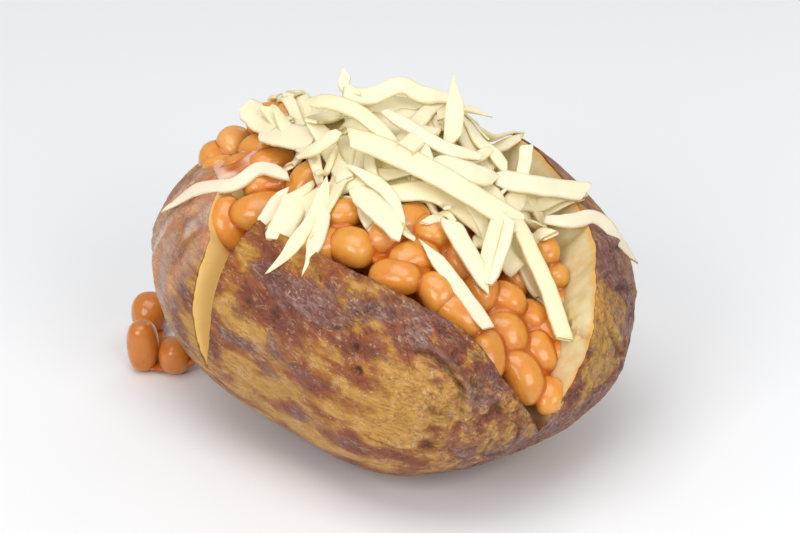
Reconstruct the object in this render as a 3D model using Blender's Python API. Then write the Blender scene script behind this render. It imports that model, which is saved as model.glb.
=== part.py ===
"""A baked potato cut crosswise and squeezed open, with baked beans and grated cheese.

Metres, +Z up. The potato rests on a small flat spot whose middle is the origin.
-Y is the front, where the longest lobe shows its skin. Angles of the polar
descriptions below are degrees: an azimuth runs from +X towards +Y.
"""

import bmesh
import bpy
import numpy as np
from mathutils import Matrix, Vector

MM = 0.001

# The outer skin: a rounded block, slightly squarer than an ellipsoid, seen from EYE.
BODY_CENTRE = np.array((0.0, 0.0, 31.7)) * MM
BODY_HALF = np.array((59.6, 47.2, 32.8)) * MM
BODY_TURN = -49.6
BODY_POWER = 2.2
EYE = np.array((-1.0, -6.0, 22.0)) * MM
FOOT_BLEND = 1.0 * MM
FLAT_RADIUS = 8.5 * MM  # of the flat spot that the potato rests on
HALVINGS = 30  # steps of the search for the skin along a ray
EDGE_SAMPLES = 40  # points along a lobe's edge before they are spaced evenly

# Swellings and hollows of the skin: azimuth, elevation, their half-widths, share of the radius.
SWELLS = (
    (60, 48, 50, 26, 0.119),  # right lobe, pushed up and back
    (150, 35, 40, 26, 0.046),  # left lobe, pushed out
    (5, 22, 28, 22, 0.017),  # right shoulder
    (265, -20, 42, 24, 0.058),  # belly of the front lobe
    (185, 20, 30, 30, 0.048),  # left lobe's side
    (320, -10, 30, 25, -0.028),  # below the front right notch
    (230, 0, 30, 25, -0.088),  # left end of the front lobe
    (345, 0, 20, 20, -0.015),  # right lobe's side
    (303, -30, 17, 18, -0.062),  # hollow under the front right notch
    (342, -35, 25, 20, 0.03),  # belly of the right lobe
)

# Each cut ends in a notch in the skin. A lobe's edge runs from its peak down to a notch,
# through (azimuth, elevation) points.
NOTCH = {"front_right": (308, -1), "left": (197, -2), "back_left": (133, 10), "back": (60, 0)}
PEAK = {"front": (198, 49), "left": (170, 43), "back": (78, 44), "right": (46, 43)}
EDGES = {
    ("front", "left"): ((202, 38), (204.5, 25), (203, 11)),
    ("front", "front_right"): ((226, 50.5), (250, 47.5), (273, 40), (289, 30), (298, 15)),
    ("right", "front_right"): ((17, 42.5), (352, 36), (333, 27), (319, 13)),
    ("right", "back"): ((51, 29), (57, 14)),
    ("back", "back"): ((74, 30), (65, 14)),
    ("back", "back_left"): ((100, 42), (120, 30)),
    ("left", "back_left"): ((155, 37), (143, 25)),
    ("left", "left"): ((184, 37.5), (191.5, 35), (195.5, 26), (197, 12)),
}
# Round the skin: each lobe with the notch before it and the notch after it.
ROUND = (("front", "left", "front_right"), ("right", "front_right", "back"),
         ("back", "back", "back_left"), ("left", "back_left", "left"))
EDGE_STEPS = {"front_right": 18, "left": 11, "back_left": 11, "back": 9}
HUB = np.array((-12.0, 6.0, 13.0)) * MM  # where the four valleys meet
SKIN_ROWS = 13
FLESH_ROWS = 4
FOOT_ROWS = 4
FOOT_ELEVATION = -50.0  # where the skin's rows end and the rings round the flat spot begin
FOOT_EVEN = 0.65  # 0: columns stay at their rim's azimuth; 1: they spread evenly on the lowest row
COLUMN_LEAN = 1.5  # how late a column leans over to its rim's azimuth

GAP = 0.35 * MM  # between touching pieces

DOME_POWER = 2.2  # a heap falls slowly from its top and steeply at its edge
DOME_BELLY = (0.78, 0.55)  # a ring under a heap: its share of the reach and of the way down to the floor
EDGE_CALM = 0.8  # the share of a heap's lumps that fades away towards its edge

# The bean heap: a lumpy dome about its middle. Each row is azimuth, reach and edge height.
BEANS_MIDDLE = (-6.0, 2.0)
BEANS_TOP = 66.0
BEANS_EDGE = ((0, 41, 47), (25, 34, 49), (52, 32, 50), (90, 31, 54), (115, 38, 54), (133, 47, 50),
              (150, 45, 56), (165, 39, 56), (193, 36, 52), (207, 32, 53), (232, 32, 54.5), (260, 38.5, 53),
              (280, 47.5, 50), (292, 57, 42), (303, 61, 30), (309, 64, 26), (316, 57, 33), (325, 51, 38),
              (335, 47, 43), (347, 44, 45))
BEANS_FLOOR = 8.0
BEANS_GRID = (60, 12)
BEANS_LUMPS = (11.0, 2.2)  # pitch and height

# The cheese heap lies on the beans and on the right lobe.
CHEESE_MIDDLE = (2.0, 6.0)
CHEESE_TOP = 78.0
CHEESE_EDGE = ((0, 38, 55), (25, 30, 58), (50, 20, 61), (90, 21, 63), (125, 32, 62), (150, 45, 64),
               (175, 33, 61), (200, 28, 60), (225, 32, 59), (250, 31, 60), (275, 33, 59), (300, 42, 54),
               (318, 44, 48), (340, 42, 50))
CHEESE_FLOOR = 38.0
CHEESE_GRID = (48, 9)
CHEESE_LUMPS = (7.0, 1.5)

# Beans that slid down beside the left lobe: middle, half sizes and turn of each.
SPILLED = (
    ((-61.2, 18.6, 6.7), (4.1, 4.1, 6.7), 0),
    ((-53.4, 17.6, 4.6), (3.8, 5.0, 4.6), -20),
    ((-61.0, 37.5, 5.2), (4.2, 5.6, 5.2), 35),
)
SPILLED_SINK = 0.3  # millimetres of each that are cut off flat at the floor
SPILLED_GRID = (14, 9)  # segments round and rings


def paint(name, colour, roughness):
    """A plain glossy or dull material of one colour."""
    material = bpy.data.materials.new(name)
    material.use_nodes = True
    shader = material.node_tree.nodes["Principled BSDF"]
    shader.inputs["Base Color"].default_value = (*colour, 1.0)
    shader.inputs["Roughness"].default_value = roughness
    return material


def add_object(name, points, faces, material):
    """A named object of one closed mesh, its faces turned outward."""
    mesh = bpy.data.meshes.new(name)
    mesh.from_pydata([tuple(p) for p in points], [], faces)
    work = bmesh.new()
    work.from_mesh(mesh)
    bmesh.ops.remove_doubles(work, verts=work.verts, dist=1e-6)
    bmesh.ops.triangulate(work, faces=work.faces)
    bmesh.ops.recalc_face_normals(work, faces=work.faces)
    work.to_mesh(mesh)
    work.free()
    mesh.materials.append(material)
    mesh.shade_smooth()
    obj = bpy.data.objects.new(name, mesh)
    bpy.context.scene.collection.objects.link(obj)
    return obj


def bell(azimuth, elevation, swell):
    """The share that one swelling adds to the skin's radius."""
    middle, height, wide, high, share = swell
    across = (azimuth - middle + 180) % 360 - 180
    return share * np.exp(-((across / wide) ** 2) - ((elevation - height) / high) ** 2)


def skin_points(azimuth, elevation):
    """The skin's points in the directions given in degrees, seen from EYE."""
    azimuth, elevation = np.broadcast_arrays(azimuth, elevation)
    a, e = np.radians(azimuth), np.radians(elevation)
    ray = np.stack((np.cos(e) * np.cos(a), np.cos(e) * np.sin(a), np.sin(e)), -1)
    turn = np.radians(BODY_TURN)
    axes = np.array(((np.cos(turn), np.sin(turn), 0), (-np.sin(turn), np.cos(turn), 0), (0, 0, 1)))
    start = axes @ (EYE - BODY_CENTRE) / BODY_HALF
    step = ray @ axes.T / BODY_HALF
    near = np.zeros(azimuth.shape)
    far = np.full(azimuth.shape, 2 * BODY_HALF[0])
    for _ in range(HALVINGS):
        middle = (near + far) / 2
        inside = (np.abs(start + step * middle[..., None]) ** BODY_POWER).sum(-1) < 1
        near, far = np.where(inside, middle, near), np.where(inside, far, middle)
    radius = near * (1 + sum(bell(azimuth, elevation, swell) for swell in SWELLS))
    points = EYE + ray * radius[..., None]
    return rest_on_floor(points)


def rest_on_floor(points):
    """Flattens what would reach below the floor, with a short round blend."""
    z = points[..., 2]
    blended = (z + FOOT_BLEND) ** 2 / (4 * FOOT_BLEND)
    points[..., 2] = np.where(z > FOOT_BLEND, z, np.where(z < -FOOT_BLEND, 0, blended))
    return points


def smooth_path(points, count):
    """Catmull-Rom curve through the points, read at count + 1 even steps."""
    p = np.array(points, float)
    p = np.vstack((2 * p[0] - p[1], p, 2 * p[-1] - p[-2]))
    t = np.linspace(0, len(points) - 1, count + 1)
    i = np.minimum(t.astype(int), len(points) - 2)
    f = (t - i)[:, None]
    a, b, c, d = p[i], p[i + 1], p[i + 2], p[i + 3]
    return 0.5 * (2 * b + (c - a) * f + (2 * a - 5 * b + 4 * c - d) * f**2 + (3 * b - a - 3 * c + d) * f**3)


def edge_angles(lobe, notch, count):
    """A lobe's cut edge from the notch up to the peak, as (azimuth, elevation) rows."""
    points = [PEAK[lobe], *EDGES[lobe, notch], NOTCH[notch]]
    azimuths = np.degrees(np.unwrap(np.radians([p[0] for p in points])))
    path = np.column_stack((azimuths, [p[1] for p in points]))
    fine = smooth_path(path, EDGE_SAMPLES)
    length = np.insert(np.cumsum(np.linalg.norm(np.diff(fine, axis=0), axis=1)), 0, 0)
    even = np.linspace(0, length[-1], count + 1)
    return np.column_stack([np.interp(even, length, fine[:, k]) for k in (0, 1)])[::-1]


def opening():
    """Columns round the opening: rim angles, and the valley point that each column runs to."""
    angles, valleys = [], []
    for lobe, before, after in ROUND:
        for notch, rising in ((before, True), (after, False)):
            count = EDGE_STEPS[notch]
            rows = edge_angles(lobe, notch, count)
            foot = skin_points(*NOTCH[notch])
            share = np.linspace(0, 1, count + 1)[:, None]
            valley = foot + (HUB - foot) * share
            if rising:
                angles += list(rows[:-1])
                valleys += list(valley[:-1])
            else:
                angles += list(rows[::-1][:-1])
                valleys += list(valley[::-1][:-1])
    return np.array(angles), np.array(valleys)


def ring_faces(first, second, count):
    """Quads between two rings of count points that start at these numbers."""
    return [(first + i, first + (i + 1) % count, second + (i + 1) % count, second + i) for i in range(count)]


def foot_rings(lowest):
    """Rings on the skin from its lowest row in to the flat spot, outermost first, and the flat spot's own."""
    around = np.arctan2(lowest[:, 1], lowest[:, 0])
    flat = np.column_stack((FLAT_RADIUS * np.cos(around), FLAT_RADIUS * np.sin(around), np.zeros(len(lowest))))
    rings = []
    for row in range(1, FOOT_ROWS):
        way = lowest + (flat - lowest) * row / FOOT_ROWS - EYE
        azimuth = np.degrees(np.arctan2(way[:, 1], way[:, 0]))
        elevation = np.degrees(np.arctan2(way[:, 2], np.hypot(way[:, 0], way[:, 1])))
        rings.append(skin_points(azimuth, elevation))
    return [*rings, flat]


def make_potato(material):
    angles, valleys = opening()
    count = len(angles)
    azimuth = np.degrees(np.unwrap(np.radians(angles[:, 0])))
    even = azimuth[0] + np.linspace(0, 360, count, endpoint=False)
    foot = azimuth + (even - azimuth) * FOOT_EVEN
    rows = []
    for row in range(SKIN_ROWS + 1):
        share = row / SKIN_ROWS
        lean = share**COLUMN_LEAN
        elevation = FOOT_ELEVATION + (angles[:, 1] - FOOT_ELEVATION) * share
        rows.append(skin_points(foot + (azimuth - foot) * lean, elevation))
    rim = rows[-1]
    for row in range(1, FLESH_ROWS + 1):
        rows.append(rim + (valleys - rim) * row / FLESH_ROWS)
    rows = foot_rings(rows[0])[::-1] + rows
    points = np.vstack([rows[0].mean(axis=0), *rows])
    faces = [(0, 1 + (i + 1) % count, 1 + i) for i in range(count)]
    for row in range(len(rows) - 1):
        faces += ring_faces(1 + row * count, 1 + (row + 1) * count, count)
    return add_object("potato", points, faces, material)


def round_values(table, azimuth):
    """The table's reach and height at these azimuths, read round the circle."""
    rows = np.array(table, float)
    before, after = rows.copy(), rows.copy()
    before[:, 0] -= 360
    after[:, 0] += 360
    rows = np.vstack((before, rows, after))
    return [np.interp(azimuth, rows[:, 0], rows[:, k]) for k in (1, 2)]


def lumps(x, y, pitch):
    """A lumpy pattern from -1 to 1, its lumps about a pitch apart."""
    k = 2 * np.pi / pitch
    waves = np.sin(k * (x + 0.3 * y)) * np.cos(k * (0.9 * y - 0.2 * x) + 0.8)
    return waves * 0.7 + 0.3 * np.sin(k * 1.6 * x + 2.0) * np.sin(k * 1.5 * y + 0.5)


def dome(name, middle, top, edge_table, floor, grid, relief, material):
    """A lumpy dome in millimetres over a point at the floor, its outline read from the table."""
    columns, rows = grid
    pitch, height = relief
    azimuth = np.linspace(0, 360, columns, endpoint=False)
    reach, edge = round_values(edge_table, azimuth)
    points = [(*middle, floor), (*middle, top + height * lumps(*middle, pitch))]
    for row in range(1, rows + 1):
        share = row / rows
        x = middle[0] + reach * share * np.cos(np.radians(azimuth))
        y = middle[1] + reach * share * np.sin(np.radians(azimuth))
        fade = 1 - EDGE_CALM * share**2
        z = edge + (top - edge) * (1 - share**DOME_POWER) + height * fade * lumps(x, y, pitch)
        points += list(np.column_stack((x, y, z)))
    faces = [(1, 2 + i, 2 + (i + 1) % columns) for i in range(columns)]
    for row in range(rows - 1):
        faces += ring_faces(2 + row * columns, 2 + (row + 1) * columns, columns)
    inward, down = DOME_BELLY
    x = middle[0] + reach * inward * np.cos(np.radians(azimuth))
    y = middle[1] + reach * inward * np.sin(np.radians(azimuth))
    points += list(np.column_stack((x, y, edge + (floor - edge) * down)))
    faces += ring_faces(2 + (rows - 1) * columns, 2 + rows * columns, columns)
    last = 2 + rows * columns
    faces += [(0, last + (i + 1) % columns, last + i) for i in range(columns)]
    return add_object(name, np.array(points) * MM, faces, material)


def spilled_bean(name, middle, half, turn, material):
    """One bean lying or standing on the floor, with a small flat where it rests."""
    work = bmesh.new()
    segments, rings = SPILLED_GRID
    bmesh.ops.create_uvsphere(work, u_segments=segments, v_segments=rings, radius=1.0)
    spin = Matrix.Rotation(np.radians(turn), 3, "Z")
    for vert in work.verts:
        at = spin @ Vector(vert.co * Vector(half)) + Vector(middle)
        vert.co = Vector((at.x, at.y, max(at.z - SPILLED_SINK, 0.0))) * MM
    points = [tuple(vert.co) for vert in work.verts]
    faces = [[vert.index for vert in face.verts] for face in work.faces]
    work.free()
    return add_object(name, points, faces, material)


def cut_clear(obj, others):
    """Cuts obj back from the others, leaving GAP between them."""
    for other in others:
        cutter = other.copy()
        cutter.data = other.data.copy()
        cutter.name = f"{obj.name}_clear_of_{other.name}"
        bpy.context.scene.collection.objects.link(cutter)
        swell = cutter.modifiers.new("swell", "DISPLACE")
        swell.strength = GAP
        swell.mid_level = 0.0
        cutter.hide_render = True
        cutter.display_type = "WIRE"
        cutter.hide_set(True)
        cut = obj.modifiers.new(f"clear of {other.name}", "BOOLEAN")
        cut.operation = "DIFFERENCE"
        cut.solver = "EXACT"
        cut.object = cutter


def main():
    for obj in list(bpy.data.objects):
        bpy.data.objects.remove(obj)
    skin = paint("baked skin", (0.42, 0.22, 0.08), 0.6)
    sauce = paint("beans in tomato sauce", (0.78, 0.27, 0.06), 0.3)
    cheese = paint("grated cheese", (0.93, 0.84, 0.48), 0.5)
    potato = make_potato(skin)
    beans = dome("bean_heap", BEANS_MIDDLE, BEANS_TOP, BEANS_EDGE, BEANS_FLOOR, BEANS_GRID, BEANS_LUMPS, sauce)
    grated = dome("cheese_heap", CHEESE_MIDDLE, CHEESE_TOP, CHEESE_EDGE, CHEESE_FLOOR, CHEESE_GRID,
                  CHEESE_LUMPS, cheese)
    cut_clear(grated, [potato, beans])
    cut_clear(beans, [potato])
    for number, (middle, half, turn) in enumerate(SPILLED, 1):
        spilled_bean(f"spilled_bean_{number}", middle, half, turn, sauce)


main()
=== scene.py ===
"""The looks of an opened baked potato with baked beans and grated cheese.

Everything is in metres in the frame of the CAD model: +Z up, -Y towards the camera, the origin
at the middle of the spot that the potato rests on. Sizes below are millimetres, times MM.
"""

import collections
import itertools

import bpy
import numpy as np
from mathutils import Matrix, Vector
from mathutils.bvhtree import BVHTree
from mathutils.geometry import delaunay_2d_cdt
from mathutils.kdtree import KDTree


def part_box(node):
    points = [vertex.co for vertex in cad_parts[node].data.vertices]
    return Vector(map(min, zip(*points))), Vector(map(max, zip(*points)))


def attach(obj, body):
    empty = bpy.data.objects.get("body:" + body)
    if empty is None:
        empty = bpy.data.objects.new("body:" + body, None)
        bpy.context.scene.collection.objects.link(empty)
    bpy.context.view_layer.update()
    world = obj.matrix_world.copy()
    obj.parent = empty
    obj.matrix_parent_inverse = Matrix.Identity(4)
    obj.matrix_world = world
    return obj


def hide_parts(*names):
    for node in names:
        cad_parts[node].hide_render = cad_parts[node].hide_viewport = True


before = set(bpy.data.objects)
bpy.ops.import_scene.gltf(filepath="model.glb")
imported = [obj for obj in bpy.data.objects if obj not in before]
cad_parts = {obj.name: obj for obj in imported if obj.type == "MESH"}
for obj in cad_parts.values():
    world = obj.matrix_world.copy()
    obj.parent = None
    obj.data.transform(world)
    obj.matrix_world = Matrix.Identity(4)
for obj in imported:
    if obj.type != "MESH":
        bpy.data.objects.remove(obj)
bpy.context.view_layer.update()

MM = 0.001

# ---------------------------------------------------------------- noise


def hashed(cells, seed):
    """A number from -1 to 1 for each whole-number cell."""
    mixed = cells[..., 0] * 73856093 ^ cells[..., 1] * 19349663 ^ cells[..., 2] * 83492791
    mixed = (mixed + seed * 2654435761) & 0xFFFFFFFF
    mixed = ((mixed >> 15) ^ mixed) * 2246822519 & 0xFFFFFFFF
    mixed = ((mixed >> 13) ^ mixed) * 3266489917 & 0xFFFFFFFF
    return ((mixed >> 8) & 0xFFFF) / 32767.5 - 1


def noise(points, cell, seed=0):
    """Smooth noise from about -1 to 1 at these points, its cells this wide."""
    at = np.asarray(points) / cell + 31.7
    low = np.floor(at).astype(np.int64)
    part = at - low
    part = part * part * (3 - 2 * part)
    total = np.zeros(at.shape[:-1])
    for corner in itertools.product((0, 1), repeat=3):
        weight = np.where(corner, part, 1 - part).prod(axis=-1)
        total += weight * hashed(low + corner, seed)
    return total


def rough_noise(points, cell, octaves, seed=0):
    """Noise with finer and weaker layers on top."""
    layers = [noise(points, cell / 2**k, seed + k) / 1.8**k for k in range(octaves)]
    return sum(layers)


def creases(points, cell, seed=0):
    """0 on smooth skin, rising to 1 along narrow lines about a cell apart."""
    bent = points + 0.35 * cell * np.stack([noise(points, cell, seed + 20 + k) for k in range(3)], -1)
    return np.clip(1 - 5 * np.abs(noise(bent, cell, seed)), 0, 1)


def unit(way):
    way = np.asarray(way, float)
    return way / np.maximum(np.linalg.norm(way, axis=-1, keepdims=True), 1e-12)


def smooth_step(low, high, value):
    t = np.clip((value - low) / (high - low), 0, 1)
    return t * t * (3 - 2 * t)


# ---------------------------------------------------------------- the potato's shape

# The outer skin, as the CAD model has it: a rounded block seen from EYE, with swellings.
BODY_CENTRE = np.array((0.0, 0.0, 31.7)) * MM
BODY_HALF = np.array((59.6, 47.2, 32.8)) * MM
BODY_TURN = np.radians(-49.6)
BODY_AXES = np.array((
    (np.cos(BODY_TURN), np.sin(BODY_TURN), 0),
    (-np.sin(BODY_TURN), np.cos(BODY_TURN), 0),
    (0, 0, 1),
))
BODY_POWER = 2.2
EYE = np.array((-1.0, -6.0, 22.0)) * MM
FOOT_BLEND = 1.0 * MM
HALVINGS = 30  # steps of the search for the skin along a ray

# Azimuth, elevation, their half-widths in degrees, share of the radius.
SWELLS = (
    (60, 48, 50, 26, 0.119), (150, 35, 40, 26, 0.046), (5, 22, 28, 22, 0.017), (265, -20, 42, 24, 0.058),
    (185, 20, 30, 30, 0.048), (320, -10, 30, 25, -0.028), (230, 0, 30, 25, -0.088),
    (345, 0, 20, 20, -0.015), (303, -30, 17, 18, -0.062), (342, -35, 25, 20, 0.03),
)

# The cuts, as (azimuth, elevation) points of each lobe's edge from its peak to a notch.
NOTCH = {"front_right": (308, -1), "left": (197, -2), "back_left": (133, 10), "back": (60, 0)}
PEAK = {"front": (198, 49), "left": (170, 43), "back": (78, 44), "right": (46, 43)}
EDGES = {
    ("front", "left"): ((202, 38), (204.5, 25), (203, 11)),
    ("front", "front_right"): ((226, 50.5), (250, 47.5), (273, 40), (289, 30), (298, 15)),
    ("right", "front_right"): ((17, 42.5), (352, 36), (333, 27), (319, 13)),
    ("right", "back"): ((51, 29), (57, 14)),
    ("back", "back"): ((74, 30), (65, 14)),
    ("back", "back_left"): ((100, 42), (120, 30)),
    ("left", "back_left"): ((155, 37), (143, 25)),
    ("left", "left"): ((184, 37.5), (191.5, 35), (195.5, 26), (197, 12)),
}
ROUND = (("front", "left", "front_right"), ("right", "front_right", "back"),
         ("back", "back", "back_left"), ("left", "back_left", "left"))
HUB = np.array((-12.0, 6.0, 13.0)) * MM

SKIN_STEP = 0.62 * MM  # between neighbouring points of the skin
SKIN_AREA = 27000 * MM**2  # about that of the whole skin
ABOVE_RIM = 56  # degrees: no skin is left higher up than this
RIM_STEP = 0.60 * MM
RIM_RAGGED = 0.7  # degrees that the cut edge wanders
EDGE_SAMPLES = 400
SKIN_THICK = 0.45 * MM
FLESH_SHARES = (0.012, 0.03, 0.055, 0.085, 0.12, 0.16, 0.205, 0.255, 0.31, 0.37, 0.43, 0.5, 0.6, 0.75, 1.0)


def angle_between(a, b):
    """a - b in degrees, from -180 to 180."""
    return (a - b + 180) % 360 - 180


def bell(azimuth, elevation, spot):
    """A soft round spot in the two angles: middle, half-widths and height."""
    middle, height, wide, high, share = spot
    across = angle_between(azimuth, middle)
    return share * np.exp(-((across / wide) ** 2) - ((elevation - height) / high) ** 2)


def direction(azimuth, elevation):
    a, e = np.radians(azimuth), np.radians(elevation)
    return np.stack((np.cos(e) * np.cos(a), np.cos(e) * np.sin(a), np.sin(e)), -1)


def angles_of(way):
    """Azimuth and elevation of these directions, in degrees."""
    azimuth = np.degrees(np.arctan2(way[..., 1], way[..., 0])) % 360
    return azimuth, np.degrees(np.arctan2(way[..., 2], np.hypot(way[..., 0], way[..., 1])))


def skin_points(azimuth, elevation):
    """The smooth skin's points in the directions given in degrees, seen from EYE."""
    azimuth, elevation = np.broadcast_arrays(azimuth, elevation)
    ray = direction(azimuth, elevation)
    start = BODY_AXES @ (EYE - BODY_CENTRE) / BODY_HALF
    step = ray @ BODY_AXES.T / BODY_HALF
    near = np.zeros(azimuth.shape)
    far = np.full(azimuth.shape, 2 * BODY_HALF[0])
    for _ in range(HALVINGS):
        middle = (near + far) / 2
        inside = (np.abs(start + step * middle[..., None]) ** BODY_POWER).sum(-1) < 1
        near, far = np.where(inside, middle, near), np.where(inside, far, middle)
    radius = near * (1 + sum(bell(azimuth, elevation, swell) for swell in SWELLS))
    points = EYE + ray * radius[..., None]
    z = points[..., 2]
    blended = (z + FOOT_BLEND) ** 2 / (4 * FOOT_BLEND)
    points[..., 2] = np.where(z > FOOT_BLEND, z, np.where(z < -FOOT_BLEND, 0, blended))
    return points


def skin_normals(azimuth, elevation):
    """Outward normals of the smooth skin, from small steps in both angles."""
    small = 0.2
    east = skin_points(azimuth + small, elevation) - skin_points(azimuth - small, elevation)
    north = skin_points(azimuth, elevation + small) - skin_points(azimuth, elevation - small)
    return unit(np.cross(east, north))


def smooth_path(points, count):
    """Catmull-Rom curve through the points, read at count + 1 even steps."""
    p = np.array(points, float)
    p = np.vstack((2 * p[0] - p[1], p, 2 * p[-1] - p[-2]))
    t = np.linspace(0, len(points) - 1, count + 1)
    i = np.minimum(t.astype(int), len(points) - 2)
    f = (t - i)[:, None]
    a, b, c, d = p[i], p[i + 1], p[i + 2], p[i + 3]
    return 0.5 * (2 * b + (c - a) * f + (2 * a - 5 * b + 4 * c - d) * f**2 + (3 * b - a - 3 * c + d) * f**3)


def angle_path(points, count):
    """smooth_path through (azimuth, elevation) points, with no jump where azimuths pass 360."""
    azimuths = np.degrees(np.unwrap(np.radians([p[0] for p in points])))
    return smooth_path(np.column_stack((azimuths, [p[1] for p in points])), count)


def edge_angles(lobe, notch):
    """A lobe's cut edge from the notch up to the peak, a RIM_STEP apart, a little ragged."""
    points = [PEAK[lobe], *EDGES[lobe, notch], NOTCH[notch]]
    fine = angle_path(points, EDGE_SAMPLES)
    places = skin_points(fine[:, 0], fine[:, 1])
    length = np.insert(np.cumsum(np.linalg.norm(np.diff(places, axis=0), axis=1)), 0, 0)
    even = np.linspace(0, length[-1], int(length[-1] / RIM_STEP) + 1)
    rows = np.column_stack([np.interp(even, length, fine[:, k]) for k in (0, 1)])[::-1]
    at = skin_points(rows[:, 0], rows[:, 1])
    calm = np.sin(np.pi * np.linspace(0, 1, len(rows))) ** 0.5
    rows[:, 1] += RIM_RAGGED * calm * rough_noise(at, 7 * MM, 4, seed=3)
    return rows


def opening():
    """The cut edge all round, and the valley point below each of its points."""
    angles, valleys = [], []
    for lobe, before, after in ROUND:
        for notch, rising in ((before, True), (after, False)):
            rows = edge_angles(lobe, notch)
            foot = skin_points(*NOTCH[notch])
            valley = foot + (HUB - foot) * np.linspace(0, 1, len(rows))[:, None]
            order = slice(None) if rising else slice(None, None, -1)
            angles.append(rows[order][:-1])
            valleys.append(valley[order][:-1])
    return np.vstack(angles), np.vstack(valleys)


def flattened(azimuth, elevation):
    """The two angles as a flat map round the point straight below EYE, true in its angles."""
    reach = np.tan(np.radians(90 + elevation) / 2)
    a = np.radians(azimuth)
    return np.stack((reach * np.cos(a), reach * np.sin(a)), -1)


def unflattened(flat):
    azimuth = np.degrees(np.arctan2(flat[:, 1], flat[:, 0])) % 360
    return azimuth, np.degrees(2 * np.arctan(np.hypot(flat[:, 0], flat[:, 1]))) - 90


def near_tree(points):
    """For finding the nearest of these points."""
    tree = KDTree(len(points))
    for k, point in enumerate(points):
        tree.insert(point, k)
    tree.balance()
    return tree


def even_directions():
    """Angles whose skin points are about SKIN_STEP apart: a sunflower pattern on the body."""
    count = int(SKIN_AREA / (0.87 * SKIN_STEP**2))
    i = np.arange(count) + 0.5
    z = 1 - 2 * i / count
    turn = i * np.pi * (3 - 5**0.5)
    ball = np.column_stack((np.sqrt(1 - z * z) * np.cos(turn), np.sqrt(1 - z * z) * np.sin(turn), z))
    return angles_of(BODY_CENTRE + (ball * BODY_HALF) @ BODY_AXES - EYE)


def inside_outline(points, outline):
    """Which flat points lie inside the closed outline, by counting crossings."""
    inside = np.zeros(len(points), bool)
    for (x1, y1), (x2, y2) in zip(outline, np.roll(outline, -1, axis=0)):
        if y1 == y2:
            continue
        level = (points[:, 1] > y1) != (points[:, 1] > y2)
        inside ^= level & (points[:, 0] < (x2 - x1) * (points[:, 1] - y1) / (y2 - y1) + x1)
    return inside


def skin_sheet(rim):
    """Angles and triangles of the whole skin. Its first points are the rim's, in order."""
    outline = flattened(rim[:, 0], rim[:, 1])
    azimuth, elevation = even_directions()
    keep = elevation < ABOVE_RIM
    azimuth, elevation = azimuth[keep], elevation[keep]
    flat = flattened(azimuth, elevation)
    keep = inside_outline(flat, outline)
    azimuth, elevation, flat = azimuth[keep], elevation[keep], flat[keep]
    places, edge = skin_points(azimuth, elevation), skin_points(rim[:, 0], rim[:, 1])
    near_edge = near_tree(edge)
    clear = [near_edge.find(p)[2] > 0.6 * SKIN_STEP for p in places]
    flat = np.vstack((outline, flat[np.array(clear)]))
    count = len(outline)
    ring = [(k, (k + 1) % count) for k in range(count)]
    made = delaunay_2d_cdt([Vector(p) for p in flat], ring, [], 1, 1e-9)
    first = [sources[0] for sources in made[3]]
    triangles = np.array([[first[k] for k in face] for face in made[2]])
    return flat, triangles


# Marks on the skin, as azimuth and elevation in degrees and half-widths.
OCHRE_SPOTS = (
    (209, 25, 6, 5, 0.8), (220, 22, 7, 5, 0.7), (213, 9, 6, 5, 0.8), (223, 3, 8, 5, 0.7),
    (207, 40, 5, 6, 0.6), (249, 24, 8, 3, 0.5), (257, 14, 7, 6, 0.45), (272, 14, 12, 8, 0.8),
    (270, 3, 14, 6, 0.7), (236, -11, 16, 8, 0.5), (261, 41, 6, 3, 0.8), (291, 23, 4, 4, 0.6),
    (296, 3, 6, 5, 0.4), (329, 17, 5, 8, 1.7), (327, 9, 5, 5, 1.1), (335, 21, 4, 5, 0.7),
    (197, 8, 6, 9, 0.6),
)
VIOLET_SPOTS = (
    (217, 38, 5, 3, 0.5), (234, 37, 10, 5, 0.8), (244, 35, 8, 4, 0.7), (210, 16, 5, 2.5, 0.8),
    (219, 17, 5, 2.5, 0.7), (231, 21, 4, 4, 0.6), (258, 33, 9, 2.5, 0.7), (273, 36, 9, 4, 0.8),
    (281, 31, 6, 5, 0.7), (277, 29, 6, 3, 0.5), (291, 15, 7, 6, 0.7), (303, 7, 6, 8, 0.5),
    (288, -2, 8, 4, 0.4), (308, -4, 9, 7, 0.6), (268, -6, 6, 3, 0.5), (352, 29, 10, 6, 0.6),
    (318, 3, 10, 6, 0.4), (345, 10, 12, 10, 0.15), (178, 20, 14, 22, 0.25), (60, 20, 30, 15, 0.5),
    (227, 9, 5, 4, 0.4), (248, -3, 12, 3, 0.5), (222, 41, 9, 5, 0.3), (246, 42, 12, 5, 0.3),
    (262, 38, 10, 5, 0.3), (213, 35, 6, 9, 0.3), (298, -11, 14, 8, 0.5), (184, 10, 5, 20, 0.4),
    (325, -6, 16, 8, 0.45), (333, 18, 2.5, 2.5, 0.9), (3, 12, 10, 20, 0.4), (345, 33, 12, 5, 0.3),
    (342, 14, 5, 10, 0.9), (343, 27, 7, 4, 0.6), (326, 1, 9, 4, 0.6),
)
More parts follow.
